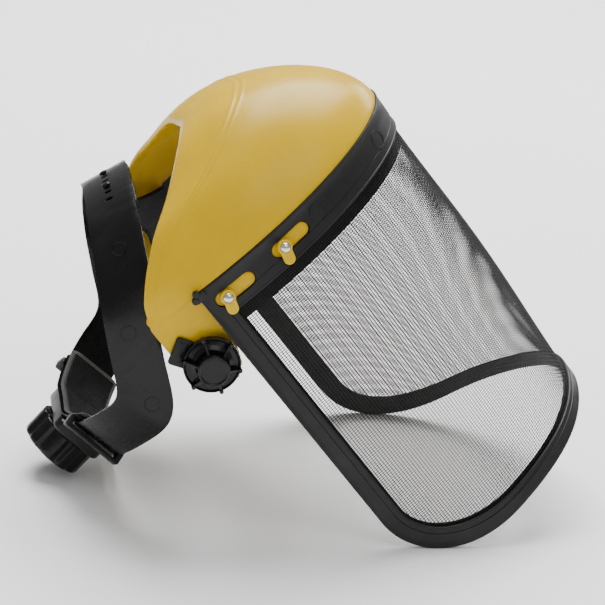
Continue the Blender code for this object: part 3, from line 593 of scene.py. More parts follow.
def frame_stations(shrink, grow, band_grow):
    """Outer and inner (along, z) points round the right half of a visor frame."""
    outer_reach = HALF_LENGTH - shrink
    inner_reach = HALF_LENGTH - RAIL_WIDTH - grow
    top = -shrink
    band = -BAND_HEIGHT - band_grow
    bow = BOW_WIDTH + grow
    stations = []
    for i in range(TOP_STEPS + 1):
        along = inner_reach * i / TOP_STEPS
        stations.append(((along, top), (along, band)))
    stations.append(((outer_reach, top), (inner_reach, band)))
    for i in range(1, RAIL_STEPS + 1):
        z = -CORNER_DROP * i / RAIL_STEPS
        stations.append(((outer_reach, z), (inner_reach, min(z, band))))
    for i in range(1, CORNER_STEPS + 1):
        swing = math.cos(i / CORNER_STEPS * math.pi / 2)
        share = CORNER_START + (1 - CORNER_START) * swing
        low = float(visor_bottom(HALF_LENGTH * share))
        rounding = (-CORNER_DROP - low) / (VISOR_DROP - CORNER_DROP)
        outer = (outer_reach * share, low + shrink * rounding)
        stations.append((outer, (inner_reach * share, low + bow * rounding)))
    for i in range(1, BOW_STEPS + 1):
        share = CORNER_START * (1 - i / BOW_STEPS)
        low = float(visor_bottom(HALF_LENGTH * share))
        stations.append(((outer_reach * share, low + shrink), (inner_reach * share, low + bow)))
    return stations


def ring_mesh(name, profile, shrink=0.0, grow=0.0, band_grow=0.0):
    """A frame swept round the visor's edge; a profile point is (share across, offset, out)."""
    half = []
    for outer, inner in frame_stations(shrink, grow, band_grow):
        outer = Vector(outer)
        inner = Vector(inner)
        width = max((inner - outer).length, 1e-6)
        loop = []
        for share, offset, out in profile:
            here = outer.lerp(inner, share + offset / width)
            loop.append((here.x, here.y, out))
        half.append(loop)
    half = np.array(half)
    mirrored = half[::-1].copy()
    mirrored[..., 0] *= -1
    whole = np.concatenate([half[:-1], mirrored[:-1]])
    points = visor_points(whole[..., 0], whole[..., 1], whole[..., 2])
    faces = ring_faces(*points.shape[:2])
    mesh = array_mesh(name, points.reshape(-1, 3), faces)
    shape = bmesh.new()
    shape.from_mesh(mesh)
    bmesh.ops.recalc_face_normals(shape, faces=shape.faces)
    shape.to_mesh(mesh)
    shape.free()
    return mesh


def band_place(side, distance, z, lift=0.0):
    """A place on the visor's face: Z points out and X runs towards the front."""
    along = side * distance
    forward = visor_point(along - side * MM, z) - visor_point(along, z)
    return frame_at(visor_point(along, z, lift), visor_normal(along, z), forward)


def rivet_place(side, which):
    back, z = RIVET_PLACES[which]
    return band_place(side, HALF_LENGTH - back, z)


def slot_place(side, which):
    back, z = RIVET_PLACES[which]
    return band_place(side, HALF_LENGTH - back - SLOT_SHIFT, z)


def side_place(side, x, y, z):
    """A place on a plane beside the head: Z points away from the head and X forward."""
    return frame_at((side * x, y, z), (side, 0, 0), (0, 1, 0))


def slot_tools():
    """Solids of the four slots that the rivets run in."""
    tools = bmesh.new()
    outline = stadium(SLOT_LENGTH, SLOT_WIDTH)
    for side in SIDES.values():
        for which in RIVET_PLACES:
            add_plate(tools, outline, -6 * MM, 6 * MM, slot_place(side, which), 0.01 * MM, 1)
    closed(tools, 0.001 * MM)
    return tools


def make_frame():
    """Black frame: a bead along its outer edge, a step across it, slots, lugs and pin marks."""
    profile = [
        (0, 0, FRAME_BACK), (0, 0, -0.55 * MM), (0, 0.12 * MM, -0.2 * MM), (0, 0.5 * MM, 0.0),
        (0, 1.1 * MM, 0.02 * MM), (0, 1.5 * MM, -0.1 * MM), (0, 1.8 * MM, -0.28 * MM),
        (0.35, 0, -0.3 * MM), (0.70, -0.5 * MM, -0.3 * MM),
        (0.70, -0.25 * MM, -0.75 * MM), (0.70, 0.1 * MM, -0.75 * MM), (0.70, 0.3 * MM, -0.55 * MM),
        (0.85, 0, -0.55 * MM), (1, -1.6 * MM, -0.55 * MM),
        (1, -1.35 * MM, -0.3 * MM), (1, -0.9 * MM, -0.25 * MM),
        (1, -0.4 * MM, -0.4 * MM), (1, -0.1 * MM, -0.8 * MM), (1, 0, -1.2 * MM), (1, 0, FRAME_BACK),
    ]
    piece = new_object("visor_frame_shell", ring_mesh("visor_frame_shell", profile))
    cut(piece, slot_tools())
    knuckle = scaled((0, 1.9), (1.6, 1.7), (2.2, 1.2), (2.2, -1), (0, -1))
    extra = bmesh.new()
    for side in SIDES.values():
        lug = side_place(side, LUG_X, 1 * MM, -2.5 * MM)
        add_plate(extra, stadium(9 * MM, 5 * MM), -1.2 * MM, 1.2 * MM, lug)
        for y, z in scaled((-2.0, -2.5), (0.5, 0.4)):
            add_turned(extra, knuckle, side_place(side, LUG_X, y, z), 24)
        for distance in (84 * MM, 150 * MM):
            place = band_place(side, HALF_LENGTH - distance, -10.5 * MM, -0.3 * MM)
            add_mark(extra, place, 5.4 * MM)
        for z in (-60 * MM, -110 * MM, -160 * MM):
            place = band_place(side, HALF_LENGTH - 7 * MM, z, -0.38 * MM)
            add_mark(extra, place, 2.2 * MM, 0.35 * MM, 0.12 * MM)
    add_details(piece, extra)
    finish_piece(piece, "frame", "brow", "visor_frame", "frame_black", 32)


def make_retainer():
    """Ring behind the screen, with a raised line on its back."""
    ridge = RETAINER_BACK - 0.35 * MM
    profile = [
        (0, 0, RETAINER_BACK), (0, 0, RETAINER_FACE),
        (0.5, 0, RETAINER_FACE), (1, -0.3 * MM, RETAINER_FACE),
        (1, -0.05 * MM, RETAINER_FACE - 0.25 * MM), (1, 0, RETAINER_FACE - 0.5 * MM),
        (1, -0.1 * MM, RETAINER_BACK + 0.2 * MM), (1, -0.4 * MM, RETAINER_BACK),
        (0.6, 0, RETAINER_BACK), (0.6, -0.3 * MM, ridge),
        (0.5, 0, ridge), (0.5, -0.3 * MM, RETAINER_BACK),
    ]
    name = "visor_retainer_ring"
    piece = new_object(name, ring_mesh(name, profile, RETAINER_SHOW, RETAINER_SHOW, RETAINER_BAND_SHOW))
    cut(piece, slot_tools())
    finish_piece(piece, "retainer", "brow", "visor_retainer", "frame_black", 32)


def bulge_at(along, z):
    """How far the screen bulges outwards between its clamped edges."""
    top = -BAND_HEIGHT + MESH_INSET
    low = visor_bottom(along) + MESH_INSET
    share = np.clip((z - top) / (low - top), 0, 1)
    return MESH_BULGE * np.sin(math.pi * share) ** 2 * np.cos(math.pi / 2 * np.abs(along) / HALF_LENGTH)


def unit_steps(points, axis):
    """Unit vectors along one way of a grid of points."""
    steps = np.gradient(points, axis=axis)
    return steps / np.linalg.norm(steps, axis=-1, keepdims=True)


def tube_faces(valid):
    """Faces of square tubes that run down the rows of a grid of wire points."""
    rows, columns = valid.shape
    index = np.arange(rows * columns * 4).reshape(rows, columns, 4)
    runs = valid[:-1] & valid[1:]
    faces = []
    for k in range(4):
        after = (k + 1) % 4
        quad = np.stack([index[:-1, :, k], index[:-1, :, after], index[1:, :, after], index[1:, :, k]], -1)
        faces.append(quad[runs])
    return np.concatenate(faces)


def make_screen():
    """Every wire of the woven screen, over and under in turn."""
    reach = HALF_LENGTH - MESH_INSET
    columns = 2 * int(reach / WARP_PITCH) + 1
    along = (np.arange(columns) - columns // 2) * WARP_PITCH
    top = -BAND_HEIGHT + MESH_INSET
    rows = int((VISOR_DROP - BAND_HEIGHT) / WEFT_PITCH) + 1
    z = top - np.arange(rows) * WEFT_PITCH
    grid_along, grid_z = np.meshgrid(along, z)
    valid = grid_z > visor_bottom(grid_along) + MESH_INSET
    middle = visor_points(grid_along, grid_z, MESH_FACE + bulge_at(grid_along, grid_z))
    out = visor_normals(grid_along, grid_z)
    parity = np.add.outer(np.arange(rows), np.arange(columns)) % 2
    wave = out * np.where(parity == 0, WIRE_WAVE, -WIRE_WAVE)[..., None]
    thick = out * WIRE_RADIUS
    points = []
    for line, axis in ((middle + wave, 1), (middle - wave, 0)):
        wide = unit_steps(middle, axis) * WIRE_RADIUS
        points.append(np.stack([line + wide, line + thick, line - wide, line - thick], 2))
    # the weft runs along the rows, so its tubes are read with rows and columns exchanged
    count = rows * columns * 4
    exchanged = np.arange(count).reshape(rows, columns, 4).transpose(1, 0, 2).reshape(-1)
    faces = np.concatenate([tube_faces(valid), exchanged[tube_faces(valid.T)] + count])
    points = np.concatenate([p.reshape(-1, 3) for p in points])
    used, compact = np.unique(faces, return_inverse=True)
    mesh = array_mesh("visor_screen_wires", points[used], compact.reshape(faces.shape))
    piece = new_object("visor_screen_wires", mesh)
    finish_piece(piece, "wire", "brow", "visor_mesh", "mesh_black", 180)


# ---------------------------------------------------------------- brow guard

# the open rear arch, from the crown to the ear: share of the way round, then the point
ARCH_KEYS = [
    (0.0, (0.0, 44 * MM, 57 * MM)),
    (0.22, (31 * MM, 36 * MM, 55 * MM)),
    (0.46, (60 * MM, 16 * MM, 44 * MM)),
    (0.68, (80 * MM, -5 * MM, 33 * MM)),
    (0.88, (90.5 * MM, -26 * MM, 13 * MM)),
    (1.0, (EAR_X, -33 * MM, -3 * MM)),
]
# rows of the flat ear: height, front end and rear end
EAR_ROWS = scaled((-18, 0, -33.4), (-30, 0, -33), (-42, -1, -32), (-51, -4.5, -29.5), (-57, -11, -24))


def smooth_through(keys, position):
    """A smooth curve through (position, point) keys."""
    last = len(keys) - 1
    i = next((k for k in range(last) if position <= keys[k + 1][0]), last - 1)
    (t0, a), (t1, b) = keys[i], keys[i + 1]
    a, b = Vector(a), Vector(b)
    before_t, before = keys[max(i - 1, 0)]
    after_t, after = keys[min(i + 2, last)]
    slope_a = (b - Vector(before)) / (t1 - before_t)
    slope_b = (Vector(after) - a) / (after_t - t0)
    span = t1 - t0
    t = (position - t0) / span
    ease = t * t * (3 - 2 * t)
    return a.lerp(b, ease) + slope_a * span * t * (1 - t) ** 2 - slope_b * span * t * t * (1 - t)


GUARD_THICKNESS = 2.0 * MM
GUARD_EDGE = 0.45 * MM
GUARD_COLUMNS = 110
LEDGE = 0.35 * MM
LIP_DEPTH = 2.2 * MM
LIP_REACH = 7 * MM
RIB_REACH = 4.5 * MM
RIB_HEIGHT = 0.55 * MM
RIB_WIDTH = 0.75 * MM
RIB_SPREAD = 1.7 * MM
DOME_STEPS = (22, 14, 16)
DOME_ROWS = sum(DOME_STEPS)
DOME_LENGTH = 105 * MM


def dome_shares(share):
    """Where the points of one dome line lie: they crowd together round its rib."""
    rib = 0.69 + 0.24 * share ** 3
    reach = RIB_REACH / DOME_LENGTH
    ends = (0.0, rib - reach, rib + reach, 1.0)
    places = [0.0]
    for low, high, steps in zip(ends, ends[1:], DOME_STEPS):
        places += [low + (high - low) * (i + 1) / steps for i in range(steps)]
    return places, rib


def rib_lift(distance):
    """Two fine ridges side by side."""
    centres = (-RIB_SPREAD, RIB_SPREAD)
    return RIB_HEIGHT * sum(math.exp(-((distance - centre) / RIB_WIDTH) ** 2) for centre in centres)


def dome_curve(share):
    """One line of the dome, from its ledge over the band up to the open rear arch."""
    start = visor_point(HALF_LENGTH * share, LEDGE, -1.0 * MM)
    end = smooth_through(ARCH_KEYS, share)
    rise = math.cos(share * math.pi / 2) ** 0.75
    back = (end - start) * 0.33
    first = start + Vector((0, -1 * MM, 30 * MM)) * rise + back * (1 - rise)
    reach = Vector((start.x - end.x, start.y - end.y, 0)) * 0.45
    second = end + reach + Vector((0, 0, 13 * MM)) * rise
    points = []
    places, rib = dome_shares(share)
    fade = max(0.35, min(1.0, (0.75 - share) / 0.3)) * min(1.0, (1 - share) / 0.1)
    for t in places:
        k = 1 - t
        point = start * k ** 3 + first * 3 * k * k * t + second * 3 * k * t * t + end * t ** 3
        outward = Vector((point.x, point.y + 20 * MM, point.z + 10 * MM)).normalized()
        points.append(point + outward * rib_lift((t - rib) * DOME_LENGTH) * fade)
    return points


def ear_rows():
    """Rows of the flat ear round the pivot, from the crease at its top to its round foot."""
    crease = dome_curve(1.0)
    inner = visor_point(HALF_LENGTH, LEDGE, SKIRT_FACE)
    rows = [crease, [inner.lerp(crease[-1], i / DOME_ROWS) for i in range(DOME_ROWS + 1)]]
    middle = visor_point(HALF_LENGTH, -SKIRT_DROP / 2, SKIRT_FACE)
    keys = [(inner, crease[-1]), (middle, Vector((EAR_X, -33.4 * MM, -14 * MM)))]
    for z, front, rear in EAR_ROWS:
        start = visor_point(HALF_LENGTH, z, SKIRT_FACE)
        edge = start.x if z == -SKIRT_DROP else EAR_X
        keys.append((Vector((edge, front, z)), Vector((EAR_X, rear, z))))
    for low, high in keys[1:]:
        rows.append([low.lerp(high, i / DOME_ROWS) for i in range(DOME_ROWS + 1)])
    return rows


def roll_lip(points, depth, reach):
    """Bends the end of a line of points down into a rounded lip, along the given inward way."""
    travelled = 0.0
    moved = list(points)
    for i in range(len(points) - 1, 0, -1):
        if travelled >= reach:
            break
        share = 1 - travelled / reach
        moved[i] = points[i] + depth * (1 - math.sqrt(1 - share * share * 0.98))
        travelled += (points[i] - points[i - 1]).length
    return moved


def lipped_curve(share):
    """A line of the dome whose rear end is rolled inwards; the roll fades out at the ear."""
    line = dome_curve(share)
    run = (line[-1] - line[-4]).normalized()
    before = smooth_through(ARCH_KEYS, max(share - 0.01, 0.0))
    sideways = (smooth_through(ARCH_KEYS, min(share + 0.01, 1.0)) - before).normalized()
    inward = run.cross(sideways).normalized()
    if inward.z > 0 or (abs(inward.z) < 0.2 and inward.x > 0):
        inward.negate()
    return roll_lip(line, inward * LIP_DEPTH * min(1.0, (1 - share) / 0.15), LIP_REACH)


def guard_columns():
    """Lines of the guard's right half, from the skirt's foot over the ledge to the rear arch."""
    last = 1 - RAIL_WIDTH / HALF_LENGTH
    shares = [last * i / GUARD_COLUMNS for i in range(GUARD_COLUMNS + 1)]
    shares += [last + (1 - last) * i / 5 for i in range(1, 6)]
    columns = []
    for share in shares:
        along = HALF_LENGTH * share
        column = [visor_point(along, -SKIRT_DROP * (1 - i / 6), SKIRT_FACE) for i in range(6)]
        column.append(visor_point(along, LEDGE, SKIRT_FACE))
        columns.append(column + lipped_curve(share))
    return columns


def make_brow_guard():
    """Yellow shell, with the raised floors of its slots and a seat under each rivet."""
    half = bmesh.new()
    add_grid(half, guard_columns())
    add_grid(half, ear_rows())
    bmesh.ops.remove_doubles(half, verts=half.verts, dist=0.03 * MM)
    bmesh.ops.recalc_face_normals(half, faces=half.faces)
    front = max(half.faces, key=lambda face: face.calc_center_median().y)
    if front.normal.y < 0:
        bmesh.ops.reverse_faces(half, faces=half.faces)
    piece = new_object("brow_guard_shell", mesh_of(half, "brow_guard_shell"))
    modifier(piece, "MIRROR", use_clip=True, merge_threshold=0.05 * MM)
    modifier(piece, "SOLIDIFY", thickness=GUARD_THICKNESS, offset=-1.0, use_even_offset=True)
    baked(piece)
    soften_edges(piece, GUARD_EDGE)
    floor = stadium(SLOT_LENGTH - 0.5 * MM, SLOT_WIDTH - 0.5 * MM)
    seat = scaled((3.6, -2.4), (4.0, -1.2), (3.4, -0.5), (0.2, -0.5))
    extra = bmesh.new()
    for side in SIDES.values():
        for which in RIVET_PLACES:
            add_plate(extra, floor, SKIRT_FACE - 1 * MM, -2.0 * MM, slot_place(side, which), 0.5 * MM)
            add_turned(extra, seat, rivet_place(side, which), 40)
    add_details(piece, extra)
    finish_piece(piece, "yellow", "brow", "brow_guard", "guard_yellow", 40)


def make_rivet(name, place):
    """Domed rivet, its shank and its clinched end behind the retainer."""
    radius, seat, shank, clinch = 3.1 * MM, 2.7 * MM, 1.3 * MM, 2.2 * MM
    angles = np.linspace(0.01, math.pi / 2, 12)
    profile = [(radius * math.sin(a), seat + 2.5 * MM * math.cos(a)) for a in angles]
    profile += [(radius, seat - 0.1 * MM), (shank, seat - 0.1 * MM), (shank, -7.4 * MM),
                (clinch, -7.4 * MM), (clinch, -8.2 * MM), (0.01 * MM, -8.2 * MM)]
    shape = bmesh.new()
    add_turned(shape, profile, place, 48)
    closed(shape, 0.02 * MM)
    shape_piece(shape, f"{name}_dome", "steel", "brow", name, "steel", 50)


def make_tab(name, place):
    """Yellow turn tab: a round base under the rivet, a tail and a grip ridge."""
    base_radius, half_width, tail_reach = 4.4 * MM, 3.4 * MM, 10.5 * MM
    tail = math.acos(half_width / base_radius)
    outline = arc(base_radius, -tail, math.pi + tail, 24)
    outline += arc(half_width, math.pi, 2 * math.pi, 18, (0, half_width - tail_reach))
    shape = bmesh.new()
    add_plate(shape, outline, 0.2 * MM, 2.6 * MM, place, 0.55 * MM, 4)
    ridge = place @ Matrix.Translation((0, -6.3 * MM, 0)) @ Matrix.Rotation(math.pi / 2, 4, "Z")
    add_plate(shape, stadium(6.4 * MM, 1.5 * MM, 8), 2.3 * MM, 3.2 * MM, ridge, 0.4 * MM, 3)
    closed(shape)
    shape_piece(shape, f"{name}_moulding", "tab", f"body_{name}", name, "guard_yellow", 40)


def make_rivets_and_tabs():
    for side_name, side in SIDES.items():
        flip = Matrix.Identity(4) if side > 0 else Matrix.Rotation(math.pi, 4, "Z")
        for which in RIVET_PLACES:
            place = rivet_place(side, which)
            make_rivet(f"rivet_{side_name}_{which}", place)
            lean = Matrix.Rotation(-side * TAB_LEAN, 4, "Z")
            make_tab(f"turn_tab_{side_name}_{which}", place @ flip @ lean)


# ---------------------------------------------------------------- straps

def crown_point(side, angle, offset):
    """The crown strap's middle at an angle from the top, and the way across it."""
    swing = math.sin(angle)
    level = math.cos(angle)
    layer = offset * max(0.0, min(1.0, (math.radians(60) - abs(angle)) / math.radians(20)))
    centre = Vector((side * (HEAD_HALF_WIDTH + layer) * swing,
                     CROWN_Y - CROWN_SWEEP * (1 - level),
                     CROWN_BASE + (CROWN_HEIGHT + layer) * level))
    along = Vector((HEAD_HALF_WIDTH * level, -CROWN_SWEEP * swing, -CROWN_HEIGHT * swing))
    normal = Vector((swing, math.sin(CROWN_TILT) * level, level))
    across = normal.cross(along).normalized()
    return centre, Vector((side * across.x, across.y, across.z))


def nape_middle(side, angle, inset=0.0):
    """The nape strap's middle at an angle from the side of the head."""
    turn = min(1.0, 1.045 * math.sin(angle))
    return Vector((side * (HEAD_HALF_WIDTH - inset) * math.cos(angle),
                   NAPE_CENTRE_Y - (NAPE_REACH - inset) * turn,
                   NAPE_Z - NAPE_DROP * math.sin(angle)))


def nape_across(angle):
    """The way across the nape strap, which leans more near its corners."""
    steepness = max(0.0, 1 - abs(math.sin(angle)) / math.sin(math.radians(60)))
    lean = RATCHET_LEAN + (CORNER_LEAN - RATCHET_LEAN) * steepness
    return Vector((0, -math.sin(lean), math.cos(lean)))


def side_points(side, pairs):
    return [Vector((side * HEAD_HALF_WIDTH, y * MM, z * MM)) for y, z in pairs]


def side_strap_arms(side, offset):
    """Pairs of edges: crown to nape tail, the front arm, and the lug round the pivot."""
    front = []
    rear = []
    for degrees in (-28, -21, -14, -7, 0, 7, 14, 21, 28, 35, 42, 56, 71, 90):
        centre, across = crown_point(side, math.radians(degrees), offset)
        front.append(centre + across * STRAP_WIDTH / 2)
        rear.append(centre - across * STRAP_WIDTH / 2)
    arm_top, arm_foot = front[-2:]
    corner = side_points(side, [(-74, -30)])[0]
    front += side_points(side, [(-33.2, -13.9), (-39.7, -25.9)])
    rear += side_points(side, [(-59.8, -0.1), (-66.3, -12.1)])
    front += side_points(side, [(-47.5, -43.5), (-51.5, -50.5), (-56, -56), (-61.5, -59.6), (-68, -61.3)])
    rear += [corner] * 5
    for degrees in (24, 38, 52, 64, 74, 84):
        middle = nape_middle(side, math.radians(degrees))
        if degrees == 84:
            middle.x = side * TAIL_END_X
        across = nape_across(math.radians(degrees)) * TAIL_WIDTH / 2
        front.append(middle - across)
        rear.append(middle + across)
    upper = [arm_top] + side_points(side, [(-6, 12), (7, 9.5), (20, 10), (34, 12)])
    lower = [arm_foot] + side_points(side, [(-18, -5.5), (-5, -5), (12, -6), (30, -6)])
    lug_rear = [lower[1]] + side_points(side, [(-29, -27), (-31, -43), (-25, -54)])
    lug_front = [lower[2]] + side_points(side, [(-6, -27), (-5, -43), (-11, -54)])
    return [(front, rear), (upper, lower), (lug_rear, lug_front)]


def crown_place(degrees, lift=0.0):
    """A place on the crown strap: Z points away from the head and X runs along the strap."""
    centre, across = crown_point(1, math.radians(degrees), 0)
    ahead = crown_point(1, math.radians(degrees + 1), 0)[0] - centre
    normal = ahead.cross(across)
    if normal.z < 0:
        normal.negate()
    return frame_at(centre + normal.normalized() * lift, normal, ahead)


def crown_slots():
    """Solids of the row of holes that the crown pegs fit."""
    tools = bmesh.new()
    for i in range(8):
        place = crown_place(-21 + i * 6, 1.9 * MM) @ Matrix.Rotation(math.pi / 2, 4, "Z")
        add_plate(tools, stadium(4.6 * MM, 2.6 * MM), -2.2 * MM, 2.2 * MM, place, 0.01 * MM, 1)
    closed(tools, 0.001 * MM)
    return tools


def make_side_strap(side_name, side, offset):
    """One side's strap; the right one lies on top at the crown and has the holes."""
    shape = bmesh.new()
    for one, two in side_strap_arms(side, offset):
        for a, b, c, d in zip(one, one[1:], two[1:], two):
            corners = [a, b, c] if (c - d).length < 1e-7 else [a, b, c, d]
            shape.faces.new([shape.verts.new(point) for point in corners])
    bmesh.ops.remove_doubles(shape, verts=shape.verts, dist=0.02 * MM)
    bmesh.ops.recalc_face_normals(shape, faces=shape.faces)
    node = f"side_strap_{side_name}"
    piece = new_object(f"{node}_band", mesh_of(shape, node))
    modifier(piece, "SUBSURF", levels=3, render_levels=3, boundary_smooth="PRESERVE_CORNERS")
    modifier(piece, "SOLIDIFY", thickness=STRAP_THICKNESS, offset=0.0, use_even_offset=True)
    baked(piece)
    if side > 0:
        cut(piece, crown_slots())
    soften_edges(piece, 0.35 * MM)
    extra = bmesh.new()
    face = HEAD_HALF_WIDTH + STRAP_THICKNESS / 2
    for y, z in ((-46, -1), (-62, -44), (-14, 2), (14, 2), (-18, -50)):
        add_mark(extra, side_place(side, face, y * MM, z * MM), 4.4 * MM, 0.4 * MM, 0.12 * MM)
    if side > 0:
        for degrees in (40, 52):
            add_mark(extra, crown_place(degrees, 0.8 * MM), 4.2 * MM, 0.4 * MM, 0.12 * MM)
    add_details(piece, extra)
    finish_piece(piece, "strap", "headgear", node, "strap_black", 40)


def make_crown_pegs():
    profile = scaled((0.01, 3.75), (1.7, 3.65), (2.3, 3.3), (2.4, 2.7),
                     (2.3, 2.3), (0.95, 2.2), (0.95, -0.2), (0.01, -0.2))
    for name, degrees in (("crown_peg_right", 9), ("crown_peg_left", -9)):
        shape = bmesh.new()
        add_turned(shape, profile, crown_place(degrees), 32)
        closed(shape, 0.02 * MM)
        shape_piece(shape, f"{name}_button", "strap", "headgear", name, "strap_black", 50)


BAND_STEPS = 120
BAND_ROWS = 14


def band_strip(inset, start, rise, height, thickness):
    """A strip bent round the forehead, with round edges; it starts at an angle in degrees."""
    faces = []
    for layer in (-0.5, 0.5):
        grid = []
        for i in range(BAND_STEPS + 1):
            angle = math.radians(start + (180 - 2 * start) * i / BAND_STEPS)
            middle = math.sin(angle)
            low = -5 * MM + rise * middle
            tall = height * (0.6 + 0.4 * middle)
            line = []
            for k in range(BAND_ROWS + 1):
                share = k / BAND_ROWS
                swell = 1 - (2 * share - 1) ** 8
                reach = inset + thickness * layer * (0.35 + 0.65 * swell)
                line.append(Vector(((HEAD_HALF_WIDTH - reach) * math.cos(angle),
                                    (BAND_FRONT - reach) * middle, low + tall * share)))
            grid.append(line)
        faces.append(grid)
    shape = bmesh.new()
    add_capped(shape, [inner + outer[::-1] for inner, outer in zip(*faces)])
    closed(shape)
    return shape


def make_forehead_pieces():
    band = band_strip(2.0 * MM, 4, 5 * MM, 26 * MM, 1.6 * MM)
    shape_piece(band, "forehead_band_strip", "strap", "headgear", "forehead_band", "strap_black", 50)
    foam = band_strip(4.6 * MM, 18, 4 * MM, 28 * MM, 3.0 * MM)
    piece = shape_piece(foam, "sweatband_foam", "foam", "headgear", "sweatband", "foam_black", 50)


def nape_solid(shape, inset, half_height, start, thickness, steps, rows, wave=None, corner=4 * MM):
    """A rounded layer that follows the strap round the nape; wave raises its inner face."""
    grids = []
    for layer in (1, -1):
        grid = []
        for i in range(steps + 1):
            angle = math.radians(start + (180 - 2 * start) * i / steps)
            length = (1 - abs(2 * i / steps - 1)) * HEAD_HALF_WIDTH
            short = max(0.0, corner - length)
            cut_back = corner - math.sqrt(max(corner ** 2 - short ** 2, 0.0))
            reach = half_height - cut_back
            line = []
            for k in range(rows + 1):
                share = 2 * k / rows - 1
                rim = 1 - abs(share) ** 10
                lift = thickness / 2 * (0.3 + 0.7 * rim) * layer
                if wave is not None and layer > 0:
                    lift += wave(i, steps, share)
                line.append(nape_middle(1, angle, inset + lift) + nape_across(angle) * share * reach)
            grid.append(line)
        grids.append(grid)
    add_capped(shape, [inner + outer[::-1] for inner, outer in zip(*grids)])


PAD_STEPS = 260
PAD_ROWS = 28
BORDER_STEPS = 7
BORDER_SHARE = 0.88
PAD_RIB = 0.5 * MM


def pad_ribs(i, steps, share):
    """Upright ribs on the side that touches the wearer, inside a plain border."""
    if min(i, steps - i) < BORDER_STEPS or abs(share) > BORDER_SHARE:
        return 0.0
    return -PAD_RIB if (i // 2) % 2 else PAD_RIB


def make_nape_pad():
    """Ribbed pad; its border is a lighter material, and the grooves a darker one as painted shade between
    the ribs.
    """
    shape = bmesh.new()
    nape_solid(shape, 5.6 * MM, 18.5 * MM, 43, 2.2 * MM, PAD_STEPS, PAD_ROWS, pad_ribs)
    closed(shape)
    piece = shape_piece(shape, "nape_pad_ribbed", "pad", "headgear", "nape_pad", "pad_grey", 25)
    piece.data.materials.append(LOOKS["pad_rim"])
    piece.data.materials.append(LOOKS["pad_groove_painted_shade"])
    ring = 2 * (PAD_ROWS + 1)
    for face in piece.data.polygons:
        i, k = divmod(face.index, ring)
        if k >= PAD_ROWS or i >= PAD_STEPS:
            continue
        share = abs(2 * (k + 0.5) / PAD_ROWS - 1)
        if share > BORDER_SHARE or min(i, PAD_STEPS - 1 - i) < BORDER_STEPS:
            face.material_index = 1
        # groove faces get the darker plastic as painted shade between the ribs
        elif (i // 2) % 2:
            face.material_index = 2


def make_nape_plate():
    """Thin plate round the nape, with a loop at each end that the strap's tail goes through."""
    shape = bmesh.new()
    nape_solid(shape, 3.2 * MM, 19 * MM, 46, 1.4 * MM, 90, 12)
    outer = rounded_box(20.5 * MM, 4.1 * MM, 1.4 * MM)
    inner = rounded_box(16.9 * MM, 1.6 * MM, 0.5 * MM)
    rows = ((inner, -0.4 * MM, -2.5 * MM), (outer, 0.5 * MM, -2.5 * MM), (outer, 0.12 * MM, -2.35 * MM),
            (outer, 0.0, -2.0 * MM), (outer, 0.0, 2.0 * MM), (outer, 0.12 * MM, 2.35 * MM),
            (outer, 0.5 * MM, 2.5 * MM), (inner, -0.4 * MM, 2.5 * MM), (inner, 0.0, 2.1 * MM),
            (inner, 0.0, -2.1 * MM), (inner, -0.4 * MM, -2.5 * MM))
    angle = math.radians(53)
    for side in SIDES.values():
        along = nape_middle(side, angle + 0.02) - nape_middle(side, angle - 0.02)
        place = frame_at(nape_middle(side, angle), along, nape_across(angle))
        rings = []
        for outline, inset, z in rows:
            rings.append([place @ Vector((p[0], p[1], z)) for p in inset_outline(outline, inset)])
        add_grid(shape, rings, close_columns=True)
    closed(shape)
    shape_piece(shape, "nape_plate_moulding", "housing", "headgear", "nape_plate", "strap_black", 40)


# ---------------------------------------------------------------- knobs and pivots

def pivot_place(side, x):
    return side_place(side, x, PIVOT_Y, PIVOT_Z)


def make_tilt_knob(side_name, side):
    """Clamp knob: a dished flange, a raised hub and ribs that end in small pegs."""
    profile = rounded_profile(scaled(
        (0.01, 13.9), (7.4, 13.9), (8.0, 14.5), (9.1, 14.3), (9.7, 5.6), (12.4, 3.5), (15.2, 3.7),
        (15.7, 4.6), (16.5, 4.4), (16.5, 0.5), (15.9, 0), (3.3, 0)), 0.5 * MM)
    peg = rounded_profile(scaled((0.01, 7.0), (1.25, 7.0), (1.25, 2.0), (0.01, 2.0)), 0.3 * MM)
    place = pivot_place(side, PLATE_OUTER + 0.3 * MM)
    shape = bmesh.new()
    add_turned(shape, profile, place, 96)
    for i in range(6):
        turn = place @ Matrix.Rotation(i * math.pi / 3 + 0.2, 4, "Z")
        add_rib(shape, turn)
        add_turned(shape, peg, turn @ Matrix.Translation((RIB_END, 0, 0)), 20)
    closed(shape, 0.004 * MM)
    node = f"tilt_knob_{side_name}"
    shape_piece(shape, f"{node}_moulding", "knob", f"body_{node}", node, "knob_black", 40)


RIB_START = 9.0 * MM
RIB_END = 16.2 * MM


def add_rib(shape, place):
    """A rib that slopes down from the knob's hub to its flange's rim."""
    half, foot, soft = 0.8 * MM, 2.0 * MM, 0.3 * MM
    grid = []
    for x, top in ((RIB_START, 11.6 * MM), (RIB_START + 2.4 * MM, 9.4 * MM),
                   (RIB_END - 2 * MM, 7.0 * MM), (RIB_END, 6.4 * MM)):
        section = [(-half, foot), (half, foot), (half, top - soft),
                   (half - soft, top), (soft - half, top), (-half, top - soft)]
        grid.append([place @ Vector((x, y, z)) for y, z in section])
    add_capped(shape, grid)


